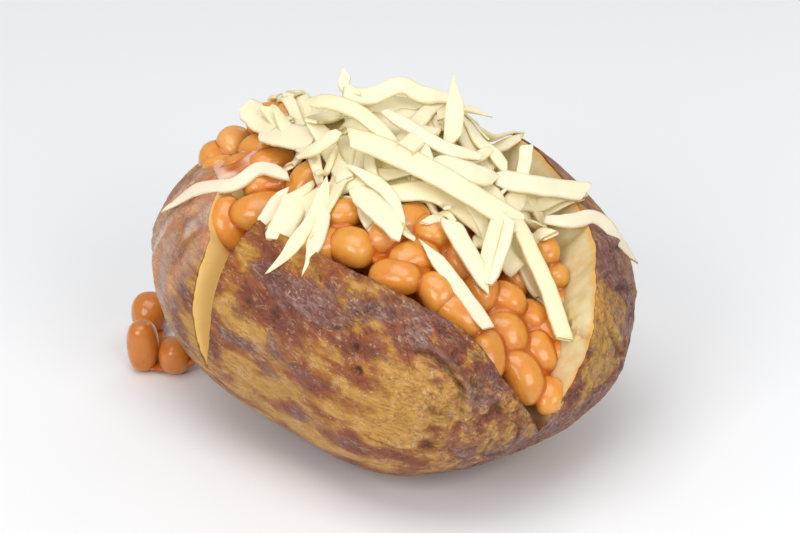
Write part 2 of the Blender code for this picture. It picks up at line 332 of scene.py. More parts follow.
BURNT_SPOTS = (
    (226, 41, 22, 9, 0.4), (252, 39, 22, 8, 0.4), (277, 32, 12, 8, 0.4), (350, 31, 14, 8, 0.3),
    (350, 0, 14, 6, 0.3), (318, -2, 14, 8, 0.35), (298, -10, 14, 8, 0.35), (3, 12, 10, 22, 0.3),
    (341, 13, 5, 9, 0.6), (343, 28, 7, 4, 0.5), (326, 0, 9, 4, 0.4), (184, 28, 6, 8, 0.5),
    (190, 12, 5, 12, 0.3), (205, 27, 4, 16, 0.3), (238, 28, 16, 5, 0.5), (224, 30, 8, 4, 0.4),
    (262, 21, 8, 5, 0.5), (243, 12, 9, 5, 0.4), (285, 24, 9, 4, 0.6), (265, 28, 10, 4, 0.4),
    (279, 1, 7, 3, 0.6), (255, -2, 12, 4, 0.4), (230, -2, 10, 5, 0.4), (291, 8, 8, 5, 0.4),
)
# Sunken eyes: azimuth, elevation, radius and depth.
PITS = (
    (297, 17, 1.1, 0.8), (295, 10, 1.4, 0.7), (260, 26, 0.9, 0.6), (261, 20, 1.1, 0.7),
    (279, 1, 1.8, 0.5), (280, 11, 1.0, 0.4), (290, 17, 1.2, 0.4), (218, 29, 1.2, 0.3),
    (230, 30, 1.4, 0.3), (345, 14, 1.1, 0.9), (340, 9, 1.2, 1.0), (120, -5, 1.5, 0.8), (40, 5, 1.4, 0.8),
    (85, 12, 1.2, 0.7), (160, 5, 1.3, 0.6), (20, 20, 1.2, 0.8),
)
# Long folds: the line they follow, depth of the groove, height of the lip beside it and their width.
FOLDS = (
    (((236, 47), (243, 43), (249, 39.5), (255, 34)), 0.7, 0.3, 0.7),
    (((255, 34), (261, 35), (267, 37.5), (273, 39.5)), 0.4, 0.6, 1.1),
    (((246, 31), (252, 30.5), (258, 31), (264, 34)), 0.5, 0.3, 0.9),
    (((274, 26), (280, 24.5), (284, 21), (287, 15), (287, 8)), 1.5, 1.4, 1.3),
    (((281, 33), (285, 29), (287, 25)), 0.6, 0.5, 0.9),
    (((287, 26), (292, 22), (294, 19)), 0.3, 0.5, 0.8),
    (((298, 8), (301, 3), (300, -3)), 0.4, 0.4, 1.0),
    (((302, 12), (306, 6), (307, 0)), 0.3, 0.4, 0.8),
    (((262, 2), (269, -1), (277, -1)), 0.5, 0.3, 0.7),
    (((338, 24), (345, 20), (352, 14)), 0.9, 0.7, 1.4),
    (((328, 20), (333, 12), (338, 4)), 0.6, 0.7, 1.3),
    (((346, 30), (356, 26), (5, 18), (10, 8)), 0.8, 0.8, 1.5),
    (((180, 30), (184, 18), (187, 4)), 0.5, 0.6, 1.3),
    (((170, 34), (173, 20), (176, 6)), 0.6, 0.6, 1.5),
    (((160, 30), (160, 15), (164, 0)), 0.6, 0.6, 1.6),
    (((120, 20), (125, 5), (118, -8)), 0.7, 0.6, 1.5),
    (((85, 28), (92, 14), (90, 0)), 0.8, 0.7, 1.5),
    (((30, 26), (36, 12), (32, -2)), 0.8, 0.7, 1.5),
)
FOLD_STEPS = 24
FOLD_WANDER = 0.6  # degrees
# Where the skin is wrinkled rather than smooth.
WRINKLED = (
    (292, 15, 18, 28, 1.0), (270, 38, 25, 9, 0.7), (345, 15, 35, 30, 1.0), (180, 15, 30, 35, 0.7),
    (308, -8, 16, 16, 0.7), (90, 10, 60, 35, 0.9), (245, 30, 14, 10, 0.35),
)
# Sauce that ran over the left lobe towards the spilled beans.
SAUCED = ((174, 38, 16, 8, 1.2), (180, 27, 12, 14, 1.0), (170, 14, 12, 20, 0.9), (160, -8, 12, 14, 0.9))


def spots(table, azimuth, elevation):
    return sum(bell(azimuth, elevation, spot) for spot in table)


def stretched(points, way, times):
    """The points squeezed along a direction, so that noise read there is drawn out along it."""
    way = np.asarray(way, float) / np.linalg.norm(way)
    return points - np.outer(points @ way, way) * (1 - 1 / times)


def fold_relief(places, normals, fold):
    """The groove and the lip of one fold, and how deep in the groove each place is, from 0 to 1."""
    line, deep, lip, wide = fold
    bent = angle_path(line, FOLD_STEPS)
    smooth = skin_points(bent[:, 0], bent[:, 1])
    bent += FOLD_WANDER * np.stack([noise(smooth, 3 * MM, 40 + k) for k in (0, 1)], -1)
    path = skin_points(bent[:, 0], bent[:, 1])
    gap = np.full(len(places), 1.0)
    side = np.zeros(len(places))
    fade = np.zeros(len(places))
    for k, (start, end) in enumerate(zip(path[:-1], path[1:])):
        way = end - start
        share = np.clip((places - start) @ way / (way @ way), 0, 1)
        off = places - start - share[:, None] * way
        far = np.linalg.norm(off, axis=1)
        closer = far < gap
        gap = np.where(closer, far, gap)
        side = np.where(closer, np.sign((np.cross(way, off) * normals).sum(axis=1)), side)
        along = np.clip((k + share) / (len(path) - 1), 0.02, 0.98)
        fade = np.where(closer, np.sin(np.pi * along) ** 0.6, fade)
    groove = np.exp(-((gap / (0.45 * wide * MM)) ** 2)) * fade
    beside = np.exp(-(((side * gap - 1.1 * wide * MM) / (0.8 * wide * MM)) ** 2)) * fade
    return (lip * beside - deep * groove) * MM, groove


def skin_look(azimuth, elevation):
    """The skin's places with all its relief, and the amounts that its colour depends on."""
    places = skin_points(azimuth, elevation)
    normals = skin_normals(azimuth, elevation)
    along = stretched(places, (0.62, -0.75, -0.22), 3.0)
    wrinkled = np.clip(spots(WRINKLED, azimuth, elevation), 0, 1)
    broad = 0.45 * noise(places, 15 * MM, 5) + 0.25 * noise(places, 7 * MM, 6)
    lines = creases(along, 4.2 * MM, 7) * 0.6 + creases(along, 2.2 * MM, 8) * 0.35
    fine = rough_noise(along, 1.6 * MM, 2, 9)
    relief = broad * (0.6 + 0.6 * wrinkled) - 0.7 * lines * wrinkled + fine * (0.05 + 0.12 * wrinkled)
    # How deep in a crease or fold each place lies: the skin paint darkens it as painted shade.
    groove = np.clip(0.7 * lines * wrinkled, 0, 1)
    relief = relief * MM
    for fold in FOLDS:
        rise, cut = fold_relief(places, normals, fold)
        relief += rise
        groove = np.maximum(groove, cut)
    # The sunken eyes, which the skin paint darkens as painted shade.
    pit = np.zeros(len(places))
    for middle, height, radius, depth in PITS:
        gap = np.linalg.norm(places - skin_points(middle, height), axis=1) / (radius * MM)
        hole = np.exp(-(gap**3))
        relief -= depth * MM * (hole - 0.35 * np.exp(-((gap - 1.6) ** 2) * 3))
        pit = np.maximum(pit, hole * (0.75 + 0.5 * noise(places, 0.7 * MM, 11)))
    low = smooth_step(1.5 * MM, 7 * MM, places[:, 2])
    places = places + normals * (relief * (0.15 + 0.85 * low))[:, None]
    mottled = rough_noise(along, 8 * MM, 4, 12)
    pale = spots(OCHRE_SPOTS, azimuth, elevation)
    burnt = 0.5 + 0.38 * mottled + spots(BURNT_SPOTS, azimuth, elevation) - pale
    violet = 0.12 + 0.3 * rough_noise(along, 10 * MM, 3, 14) + spots(VIOLET_SPOTS, azimuth, elevation)
    violet -= 0.5 * pale
    streaks = 0.85 + 0.6 * noise(stretched(places, (-0.35, 0.1, -1.0), 5.0), 3 * MM, 16)
    creamy = 0.5 + 0.9 * noise(stretched(places, (-0.3, 0.2, -1.0), 3.0), 4.5 * MM, 18)
    sauced = np.clip(spots(SAUCED, azimuth, elevation) * 1.3, 0, 1) * np.clip(streaks, 0, 1)
    return places, normals, {
        "burnt": burnt, "violet": violet, "groove": groove, "pit": pit, "sauced": sauced,
        "height": 0.5 + relief / (2.4 * MM), "creamy": creamy, "wrinkled": wrinkled,
    }


# ---------------------------------------------------------------- meshes


def linked(name, data):
    """A new object in the scene that shows this mesh, light or camera."""
    obj = bpy.data.objects.new(name, data)
    bpy.context.scene.collection.objects.link(obj)
    return obj


def mesh_object(name, points, faces, materials, face_material=None, amounts=None):
    """A named smooth mesh object. amounts are numbers for each point, which its material reads."""
    mesh = bpy.data.meshes.new(name)
    mesh.from_pydata(np.asarray(points).tolist(), [], [list(map(int, face)) for face in faces])
    for material in materials:
        mesh.materials.append(material)
    if face_material is not None:
        mesh.polygons.foreach_set("material_index", np.asarray(face_material, np.int32))
    for key, values in (amounts or {}).items():
        layer = mesh.attributes.new(key, "FLOAT", "POINT")
        layer.data.foreach_set("value", np.asarray(values, np.float32))
    mesh.shade_smooth()
    mesh.update()
    return linked(name, mesh)


def grid_faces(rows, count):
    """Quads between rows of count points each, closed round."""
    k = np.arange(count)
    after = (k + 1) % count
    strip = np.stack((k, after, after + count, k + count), -1)
    return [strip + row * count for row in range(rows - 1)]


FLESH_CRACK = (np.array((38.5, -32.5, 39.0)) * MM, 8.0 * MM)  # its middle and half-length


def flesh_relief(places):
    """Soft lumps of the cut flesh, and one crack across the right lobe's face."""
    lumps = 0.2 * noise(places, 6 * MM, 21) + 0.04 * noise(places, 1.8 * MM, 25)
    middle, half = FLESH_CRACK
    near = 1 - smooth_step(0.6 * half, half, np.linalg.norm(places - middle, axis=1))
    level = places[:, 2] - middle[2] - 0.8 * MM * noise(places, 3 * MM, 26)
    crack = np.exp(-((level / (0.45 * MM)) ** 2)) * near
    step = 0.5 * smooth_step(0, 0.6 * MM, level) * near
    return (lumps - 1.3 * crack + step) * MM, crack


def flesh_wall(inner, valleys):
    """Rows of points from the skin's inner edge down to the valley lines, each with its amounts."""
    wall = np.stack([inner] + [inner + (valleys - inner) * share for share in FLESH_SHARES])
    down = np.gradient(wall, axis=0)
    across = np.roll(wall, -1, axis=1) - np.roll(wall, 1, axis=1)
    out = unit(np.cross(across, down))
    relief, crack = flesh_relief(wall.reshape(-1, 3))
    depth = np.linalg.norm(wall - inner, axis=-1)
    shares = np.array((0, *FLESH_SHARES))[:, None]
    fade = smooth_step(0, 2 * MM, depth) * (1 - smooth_step(0.6, 1, shares))
    points = (wall + out * (relief.reshape(depth.shape) * fade)[..., None]).reshape(-1, 3)
    return points, {
        "lip": np.repeat((1, *[0] * len(FLESH_SHARES)), len(inner)),
        "depth": depth.reshape(-1) / MM,
        "crack": crack,
        "stained": heap_gap(points),
    }


def make_potato(skin, flesh):
    """The skin with its relief, and the cut flesh as a wall from its rim down to the valley lines."""
    rim, valleys = opening()
    flat, triangles = skin_sheet(rim)
    azimuth, elevation = unflattened(flat)
    places, normals, amounts = skin_look(azimuth, elevation)
    count, total, rows = len(rim), len(places), 1 + len(FLESH_SHARES)
    wall, on_wall = flesh_wall(places[:count] - normals[:count] * SKIN_THICK, valleys)
    points = np.vstack((places, wall))
    ring = np.arange(count)
    after = (ring + 1) % count
    lip = np.stack((ring, after, total + after, total + ring), -1)
    quads = np.vstack(grid_faces(rows, count)) + total
    faces = [*triangles, *lip[:, ::-1], *quads[:, ::-1]]
    which = [0] * (len(triangles) + count) + [1] * len(quads)
    values = {key: np.append(value, np.tile(value[:count], rows)) for key, value in amounts.items()}
    for key, value in on_wall.items():
        values[key] = np.append(np.zeros(total), value)
    # Painted shade at the foot of the front-right notch, down in the cleft near the floor.
    foot = np.linalg.norm(points - skin_points(*NOTCH["front_right"]), axis=1)
    values["notch_shade"] = 1 - smooth_step(2 * MM, 6 * MM, foot)
    # golden marks the flesh strip on the left: its own ochre, painted paler to lift the shade it lies in.
    values["golden"] = smooth_step(-22 * MM, -34 * MM, points[:, 0])
    return mesh_object("baked_potato", points, faces, [skin, flesh], which, values)


def tree_of(obj):
    """For finding the nearest place on an object, or where a ray meets it."""
    mesh = obj.data
    return BVHTree.FromPolygons([v.co for v in mesh.vertices], [list(p.vertices) for p in mesh.polygons])


BEAN_TREE = tree_of(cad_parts["bean_heap"])
CHEESE_TREE = tree_of(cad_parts["cheese_heap"])
POTATO_TREE = tree_of(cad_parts["potato"])


def heap_gap(points):
    """1 where the flesh touches the bean heap, falling to 0 a few millimetres away."""
    gaps = np.array([BEAN_TREE.find_nearest(p)[3] for p in points])
    return 1 - smooth_step(0.5 * MM, 3.5 * MM, gaps)


# ---------------------------------------------------------------- materials


def linear(red, green, blue):
    """A colour given as 0 to 255 on screen, as the shader's linear values."""
    share = np.array((red, green, blue)) / 255
    return (*np.where(share <= 0.04045, share / 12.92, ((share + 0.055) / 1.055) ** 2.4), 1.0)


# Colours as they look on screen.
STRAW = linear(192, 142, 64)
OCHRE = linear(164, 108, 38)
TAN = linear(148, 82, 34)
RED_BROWN = linear(126, 62, 36)
VIOLET = linear(114, 70, 62)
ASH_AND_SHEEN = linear(176, 150, 142)
SCORCH_AND_SHADE = linear(52, 32, 26)
SCURF_AND_SHEEN = linear(226, 196, 160)
SAUCE_FILM = linear(216, 148, 102)
SAUCE_CREAM_AND_SHEEN = linear(232, 200, 178)
BEAN_CREAM = linear(234, 176, 108)
LILAC_SHEEN = linear(190, 154, 134)
FLESH = linear(212, 198, 156)
FLESH_GOLD = linear(220, 166, 80)
FLESH_DEEP = linear(208, 182, 130)
FLESH_OCHRE_LIT = linear(250, 218, 144)
BEAN_PALE = linear(226, 180, 80)
BEAN_DEEP = linear(220, 154, 56)
BEAN_FILM = linear(206, 110, 34)
SAUCE_DEEP = linear(176, 86, 18)
SAUCE_RED = linear(192, 104, 26)
CHEESE_PALE = linear(255, 249, 219)
CHEESE_GOLD = linear(255, 239, 176)
CHEESE_WET = linear(250, 238, 214)
CHEESE_GLOW = linear(255, 238, 160)


class Paint:
    """One material and short calls for the nodes that it is made of."""

    def __init__(self, name, **values):
        self.material = bpy.data.materials.new(name)
        self.material.use_nodes = True
        self.tree = self.material.node_tree
        self.shader = self.tree.nodes["Principled BSDF"]
        for key, value in values.items():
            self.shader.inputs[key.replace("_", " ")].default_value = value
        self.place = self.add("TexCoord").outputs["Object"]

    def add(self, kind, **settings):
        made = self.tree.nodes.new("ShaderNode" + kind)
        for key, value in settings.items():
            setattr(made, key, value)
        return made

    def put(self, socket, value):
        """Sets a socket to a number or colour, or links another node's output to it."""
        if isinstance(value, bpy.types.NodeSocket):
            self.tree.links.new(value, socket)
        else:
            socket.default_value = value

    def amount(self, name):
        """A number that the mesh holds for each of its points."""
        return self.add("Attribute", attribute_name=name).outputs["Fac"]

    def texture(self, kind, cell, place, **settings):
        """A texture node read at the place, its cells this many millimetres wide."""
        made = self.add(kind, **settings)
        self.put(made.inputs["Vector"], place or self.place)
        made.inputs["Scale"].default_value = 1 / (cell * MM)
        return made

    def noise(self, cell, detail=2.0, rough=0.5, bend=0.0, place=None):
        made = self.texture("TexNoise", cell, place)
        for key, value in (("Detail", detail), ("Roughness", rough), ("Distortion", bend)):
            made.inputs[key].default_value = value
        return made.outputs["Fac"]

    def drawn_out(self, times):
        """The place squeezed along the potato's long axis, so that noise is drawn out along it."""
        made = self.add("Mapping", vector_type="TEXTURE")
        self.put(made.inputs["Vector"], self.place)
        made.inputs["Rotation"].default_value = (0.0, np.radians(12), BODY_TURN)
        made.inputs["Scale"].default_value = (times, 1.0, 1.0)
        return made.outputs["Vector"]

    def ridge(self, value, width):
        """1 along the lines where the noise crosses its middle, 0 beside them."""
        return self.step(width, 0.0, self.math("ABSOLUTE", self.math("SUBTRACT", value, 0.5)))

    def cells(self, cell, feature="F1", place=None):
        """How far the nearest cell's middle is, in cells, or with another feature its edge."""
        return self.texture("TexVoronoi", cell, place, feature=feature).outputs["Distance"]

    def bent(self, place, cell, far):
        """The place moved by smooth noise, up to this far."""
        field = self.texture("TexNoise", cell, place)
        moved = self.add("VectorMath", operation="MULTIPLY_ADD")
        self.put(moved.inputs[0], field.outputs["Color"])
        moved.inputs[1].default_value = (2 * far * MM,) * 3
        self.put(moved.inputs[2], place)
        return moved.outputs[0]

    def crumple(self, cell, place):
        """0 along a net of bent creases about a cell apart, 1 on the facets between them."""
        net = self.cells(cell, "DISTANCE_TO_EDGE", self.bent(place, 1.5 * cell, 0.7 * cell))
        return self.step(0.0, 0.22, net)

    def math(self, kind, a, b=0.0, c=0.0):
        made = self.add("Math", operation=kind)
        for socket, value in zip(made.inputs, (a, b, c)):
            self.put(socket, value)
        return made.outputs[0]

    def times(self, a, b):
        return self.math("MULTIPLY", a, b)

    def sum(self, *terms):
        """Adds up (value, times) pairs and plain numbers."""
        total = 0.0
        for term in terms:
            value, times = term if isinstance(term, tuple) else (term, 1.0)
            total = self.math("MULTIPLY_ADD", value, times, total)
        return total

    def step(self, low, high, value):
        made = self.add("MapRange", interpolation_type="SMOOTHSTEP")
        for socket, number in zip(made.inputs, (value, low, high, 0.0, 1.0)):
            self.put(socket, number)
        return made.outputs[0]

    def mix(self, share, a, b):
        made = self.add("Mix", data_type="RGBA")
        for index, value in ((0, share), (6, a), (7, b)):
            self.put(made.inputs[index], value)
        return made.outputs[2]

    def layer(self, colour, tint, share, strength=1.0):
        """The colour with a tint over it, where the share is above 0."""
        return self.mix(share if strength == 1.0 else self.times(share, strength), colour, tint)

    def bump(self, height, distance, strength=1.0):
        made = self.add("Bump")
        self.put(made.inputs["Height"], height)
        made.inputs["Distance"].default_value = distance * MM
        made.inputs["Strength"].default_value = strength
        return made.outputs[0]

    def let_light_through(self, share, colour):
        """Mixes the surface with one that light passes through, scattered."""
        through = self.add("BsdfTranslucent")
        self.put(through.inputs["Color"], colour)
        mixed = self.add("MixShader")
        mixed.inputs[0].default_value = share
        self.put(mixed.inputs[1], self.shader.outputs[0])
        self.put(mixed.inputs[2], through.outputs[0])
        self.put(self.tree.nodes["Material Output"].inputs["Surface"], mixed.outputs[0])
        return self.material

    def finish(self, **inputs):
        for key, value in inputs.items():
            self.put(self.shader.inputs[key.replace("_", " ")], value)
        return self.material


def skin_paint():
    """Baked skin: ochre, red-brown and violet-grey blotches, pale scurf; painted shade in creases and pits,
    painted sheen and highlights on wrinkles and raised places.
    """
    p = Paint("baked_skin", IOR=1.42, Subsurface_Weight=0.08, Subsurface_Radius=(1.0, 0.5, 0.25),
              Subsurface_Scale=1.2 * MM)
    along = p.drawn_out(2.2)
    strong = p.drawn_out(3.5)
    blotch = p.noise(7.5, 3.5, 0.52, 0.5, along)
    medium = p.noise(3.2, 2.5, 0.52, 0.4, along)
    grain = p.noise(0.7, 3, 0.65)
    wrinkle = p.noise(1.5, 4, 0.68, 0.8, strong)
    veins = p.ridge(p.noise(4.5, 4, 0.6, 1.2, strong), 0.035)
    sheen_lines = p.ridge(p.noise(1.6, 3, 0.6, 1.0, strong), 0.05)
    wrinkled = p.amount("wrinkled")
    rugged = p.times(wrinkled, p.sum((medium, 1.0), -0.52))
    burnt = p.amount("burnt")
    baked = p.sum((burnt, 0.75), (blotch, 2.0), (medium, 1.25), (grain, 0.2), (rugged, 1.6), -1.66)
    clouds = p.noise(5.5, 3, 0.52, 0.5, along)
    violet = p.sum((p.amount("violet"), 1.0), (clouds, 2.4), (medium, 0.8), (grain, 0.4), -1.75)
    violet = p.step(0.36, 0.9, violet)
    brown = p.step(0.42, 0.86, baked)
    sheen_specks = p.times(p.step(0.3, 0.08, p.cells(1.3)), p.step(0.48, 0.6, p.noise(4.0, 3)))
    ash = p.step(0.5, 0.68, p.noise(0.9, 4, 0.7, 0.5, strong))
    crease_shade_and_sheen = p.times(p.step(0.6, 0.0, p.crumple(1.8, along)), p.step(0.45, 0.6, p.noise(6.0, 2)))
    # Raised places of the relief, lightened below as a painted highlight.
    high = p.step(0.55, 0.85, p.sum((p.amount("height"), 1.0), (grain, 0.25), -0.12))
    dots = p.times(p.step(0.3, 0.12, p.cells(0.85)), p.step(0.48, 0.62, p.noise(5.0, 3)))
    colour = p.mix(p.step(0.05, 0.38, baked), STRAW, OCHRE)
    for tint, share, strength in (
        (TAN, p.step(0.28, 0.56, baked), 1.0),
        (RED_BROWN, brown, 1.0),
        (VIOLET, violet, 0.85),
        # Painted shade in the wrinkle valleys and painted highlight on their ridges, following the wrinkle
        # bump.
        (RED_BROWN, p.step(0.5, 0.3, wrinkle), 0.35),
        (VIOLET, p.times(wrinkled, p.step(0.54, 0.38, wrinkle)), 0.45),
        (STRAW, p.times(wrinkled, p.step(0.52, 0.66, wrinkle)), 0.35),
        (SCORCH_AND_SHADE, p.times(veins, p.sum((brown, 0.3), 0.06)), 1.0),
        # Pale scurf flecks, and painted sheen: fine pale lines and specks in place of the gloss on the
        # wrinkles.
        (SCURF_AND_SHEEN, p.times(sheen_lines, p.step(0.5, 0.62, p.noise(3.5, 3))), 0.35),
        (SCURF_AND_SHEEN, sheen_specks, 0.4),
        (ASH_AND_SHEEN, p.times(ash, violet), 0.5),
        # Painted shade along the creases of the fine net, and painted sheen on them in the violet areas.
        (p.mix(violet, RED_BROWN, ASH_AND_SHEEN), crease_shade_and_sheen, 0.28),
        # Painted highlight: raised places are paler.
        (ASH_AND_SHEEN, high, 0.15),
        (SCORCH_AND_SHADE, dots, 0.5),
        # Painted shade: the fold grooves, creases and sunken eyes are darkened.
        (SCORCH_AND_SHADE, p.amount("groove"), 0.6),
        (SCORCH_AND_SHADE, p.amount("pit"), 0.8),
        (SCORCH_AND_SHADE, p.amount("lip"), 0.4),
    ):
        colour = p.layer(colour, tint, share, strength)
    film = p.sum((p.amount("sauced"), 1.0), (p.noise(1.6, 3), 0.4), (medium, 0.4), -0.4)
    film = p.step(0.1, 1.05, film)
    streak = p.sum((p.amount("creamy"), 1.0), (medium, 0.8), -0.4)
    # The sauce film's lilac is painted sheen of the wet film. Its cream is creamy sauce with painted sheen
    # on it.
    wash = p.mix(p.step(0.05, 0.75, streak), LILAC_SHEEN, SAUCE_FILM)
    wash = p.layer(wash, SAUCE_CREAM_AND_SHEEN, p.step(0.7, 1.2, streak))
    colour = p.layer(colour, wash, film, 0.74)
    rough = p.sum((grain, 0.25), (film, -0.26), (wrinkle, -0.15), 0.4)
    where = p.step(0.35, 0.7, p.sum((p.noise(9.0, 2), 1.0), (wrinkled, 0.1)))
    creased = p.sum((p.crumple(4.5, along), 0.8), (p.crumple(1.8, along), 0.2))
    relief = p.sum((wrinkle, 1.0), (p.noise(0.8, 3, 0.65, 0.3, along), 0.5), (veins, -0.25),
                   (p.cells(0.85), 0.2), (p.times(creased, where), 1.0))
    normal = p.bump(relief, 0.45)
    return p.finish(Base_Color=colour, Roughness=rough, Normal=normal)


def flesh_paint():
    """Baked flesh: pale and moist, golden towards the skin, stained by the sauce below; painted light on
    the left strip, painted shade in the crack and at the front-right notch.
    """
    p = Paint("baked_flesh", IOR=1.4, Subsurface_Weight=0.6, Subsurface_Radius=(1.0, 0.75, 0.4),
              Subsurface_Scale=2.5 * MM)
    soft = p.noise(4.0, 3, 0.6)
    grain = p.noise(0.9, 3, 0.6)
    colour = p.mix(p.step(0.35, 0.7, soft), FLESH, FLESH_DEEP)
    for tint, share, strength in (
        (FLESH_GOLD, p.step(2.2, 0.3, p.sum((p.amount("depth"), 1.0), (soft, -2.4), 1.2)), 0.7),
        # Painted light: the left strip's ochre flesh is made paler against its shade.
        (FLESH_OCHRE_LIT, p.amount("golden"), 0.8),
        (SAUCE_FILM, p.step(0.3, 1.0, p.sum((p.amount("stained"), 1.0), (soft, 0.6), -0.3)), 0.35),
        # Painted shade: the crack across the right lobe's flesh is darker gold.
        (FLESH_GOLD, p.amount("crack"), 0.5),
        # Painted shade at the foot of the front-right notch.
        (RED_BROWN, p.amount("notch_shade"), 0.85),
    ):
        colour = p.layer(colour, tint, share, strength)
    rough = p.sum((grain, 0.3), 0.22)
    normal = p.bump(p.sum((grain, 0.6), (p.noise(0.35, 2), 0.3)), 0.12, 0.4)
    return p.finish(Base_Color=colour, Roughness=rough, Normal=normal)


# ---------------------------------------------------------------- beans

# The beans that the front shows: middle, heading and pitch of the long axis in degrees,
# length, width and how creamy the sauce on it is.
SEEN_BEANS = (
    (24, -35.5, 38.7, -60, -50, 11, 9.2, 0.0), (35.5, -19.5, 45, -80, 20, 9, 6.2, 0.0),
    (33.5, -16, 50, -80, -30, 9, 6, 0.1), (29.5, -28.5, 39.5, -10, -20, 10, 7.6, 0.0),
    (24, -29.5, 44.5, -20, -15, 10, 7.4, 0.2), (31.5, -35.5, 34.5, -60, -45, 9.5, 7.2, 0.0),
    (27.5, -42, 32, -45, -45, 13, 8.2, 0.15), (33.5, -42.5, 27.5, -90, -30, 9, 7.2, 0.0),
    (9, -35.8, 49.5, -50, -40, 10, 8.2, 0.0), (14.3, -25.5, 52, -70, -45, 10.5, 8.2, 0.1),
    (4, -29.5, 54.3, 20, 5, 12, 8, 0.1), (0, -33.5, 52, 160, -5, 12, 8, 0.1),
    (18.7, -29.8, 46.8, -60, -40, 10, 7.8, 0.1), (14, -38.5, 45.5, -20, -30, 12, 8, 0.1),
    (35, -34, 32, -80, -60, 10, 7, 0.0), (37, -23.5, 41, -90, -20, 8, 5.5, 0.0),
    (33, -30, 37, -40, -20, 10, 7, 0.0), (-9.5, -25.5, 55.3, -30, -5, 11, 8.8, 0.0),
    (-1.5, -24, 57, 10, 0, 11, 8, 0.6), (3, -19.5, 59, 40, 0, 11, 8, 0.6),
    (7.5, -22.5, 57.5, -30, -10, 10, 7.5, 0.1), (-38, -4, 50.5, -70, -60, 12.5, 9, 0.1),
    (-30.5, -5.5, 54.3, 10, 8, 14, 9, 0.0), (-29, 2, 57.5, 15, 5, 12, 8, 0.1),
    (-28.8, 10, 58.8, 20, 10, 13, 7.5, 0.0), (-31.5, 15.5, 59.5, -20, 0, 10, 8.5, 0.2),
    (-35.5, 11, 57, 30, 0, 10, 7.5, 0.3), (-40.5, 14.5, 55.5, 0, 0, 9, 6.5, 0.2),
    (-42, 20, 55, 90, 20, 11, 8, 0.3), (-38, 23, 58, 60, 10, 10, 8, 0.7),
    (-29, 22, 64.5, 15, 0, 12, 8, 0.2), (-22.5, 22, 66, 10, 0, 12, 8, 0.8),
    (-18, -11.5, 58.5, 20, 0, 11, 8, 0.1), (-16, -23.5, 55, 20, 0, 11, 8, 0.5),
    (-25, -15.5, 53.5, 20, 0, 11, 8, 0.2),
)
Bean = collections.namedtuple("Bean", "middle along flat length width cream seen")
BEAN_GAP = 7.4 * MM  # between the middles of the other beans
BEAN_TRIES = 2500
LOWEST_BEAN = 24 * MM
UNDER_LAYER = 6.0 * MM  # how much deeper the beans of the second layer lie
SPREAD_ROUNDS = 40
PUSH_SHARE = 0.25  # of an overlap, in one round
PULL_SHARE = 0.4  # of the way back to a bean's depth in the heap, in one round
VIEW_SIDE = np.array((0, -0.55, 0.83))  # roughly towards the camera


def ball_grid(n):
    """Unit directions and quads of a cube blown up to a ball, n quads along each edge."""
    t = np.tan(np.linspace(-1, 1, n + 1) * np.pi / 4)
    u, v = np.meshgrid(t, t, indexing="ij")
    w = np.ones_like(u)
    sides = [(u, v, w), (v, u, -w), (w, u, v), (-w, v, u), (v, w, u), (u, -w, v)]
    points = unit(np.concatenate([np.stack(side, -1).reshape(-1, 3) for side in sides]))
    k = (np.arange(n)[:, None] * (n + 1) + np.arange(n)).reshape(-1)
    quad = np.stack((k, k + n + 1, k + n + 2, k + 1), -1)
    quads = np.concatenate([quad + side * (n + 1) ** 2 for side in range(6)])
    _, first, where = np.unique(np.round(points, 6), axis=0, return_index=True, return_inverse=True)
    return points[first], where.reshape(-1)[quads]


def bean_points(ball, bean, rng):
    """The points of one bean: a fat, slightly bent and uneven ellipsoid."""
    along = unit(bean.along)
    flat = unit(bean.flat - (bean.flat @ along) * along)
    axes = np.stack((along, np.cross(flat, along), flat))
    power = rng.uniform(2.15, 2.5)
    full = ball / (np.abs(ball) ** power).sum(axis=1, keepdims=True) ** (1 / power)
    body = full * np.array((bean.length, bean.width, bean.width * rng.uniform(0.88, 0.97))) / 2
    s = body[:, 0] * 2 / bean.length
    body[:, 1] += rng.uniform(0.03, 0.13) * rng.choice((-1, 1)) * bean.width * (s**2 - 0.35)
    body[:, 1:] *= (1 + rng.uniform(-0.09, 0.09) * s)[:, None]
    points = bean.middle + body @ axes
    return points + ball @ axes * 0.12 * MM * noise(points, 3.2 * MM, 31)[:, None]


# The corners of a box's sides, for corners in itertools.product order.
BOX_SIDES = ((0, 1, 3, 2), (4, 6, 7, 5), (0, 4, 5, 1), (2, 3, 7, 6), (0, 2, 6, 4), (1, 5, 7, 3))


class Heap:
    """Collects pieces into the points, faces and amounts of one mesh."""

    def __init__(self):
        self.points, self.faces, self.amounts, self.count = [], [], {}, 0

    def add(self, points, faces, **amounts):
        self.points.append(points)
        self.faces.append(np.asarray(faces) + self.count)
        self.count += len(points)
        for key, value in amounts.items():
            self.amounts.setdefault(key, []).append(np.broadcast_to(value, len(points)))

    def mesh(self):
        return np.vstack(self.points), [face for part in self.faces for face in part.tolist()]

    def object(self, name, material):
        amounts = {key: np.concatenate(value) for key, value in self.amounts.items()}
        return mesh_object(name, *self.mesh(), [material], None, amounts)


def open_to_view(place):
    """True if the place can be seen from some side past the cheese and the potato."""
    for azimuth, height in itertools.product(range(0, 360, 30), (12, 40, 70)):
        ray = Vector(direction(azimuth, height))
        start = Vector(place) + ray * 0.3 * MM
        if CHEESE_TREE.ray_cast(start, ray)[0] is None and POTATO_TREE.ray_cast(start, ray)[0] is None:
            return True
    return False


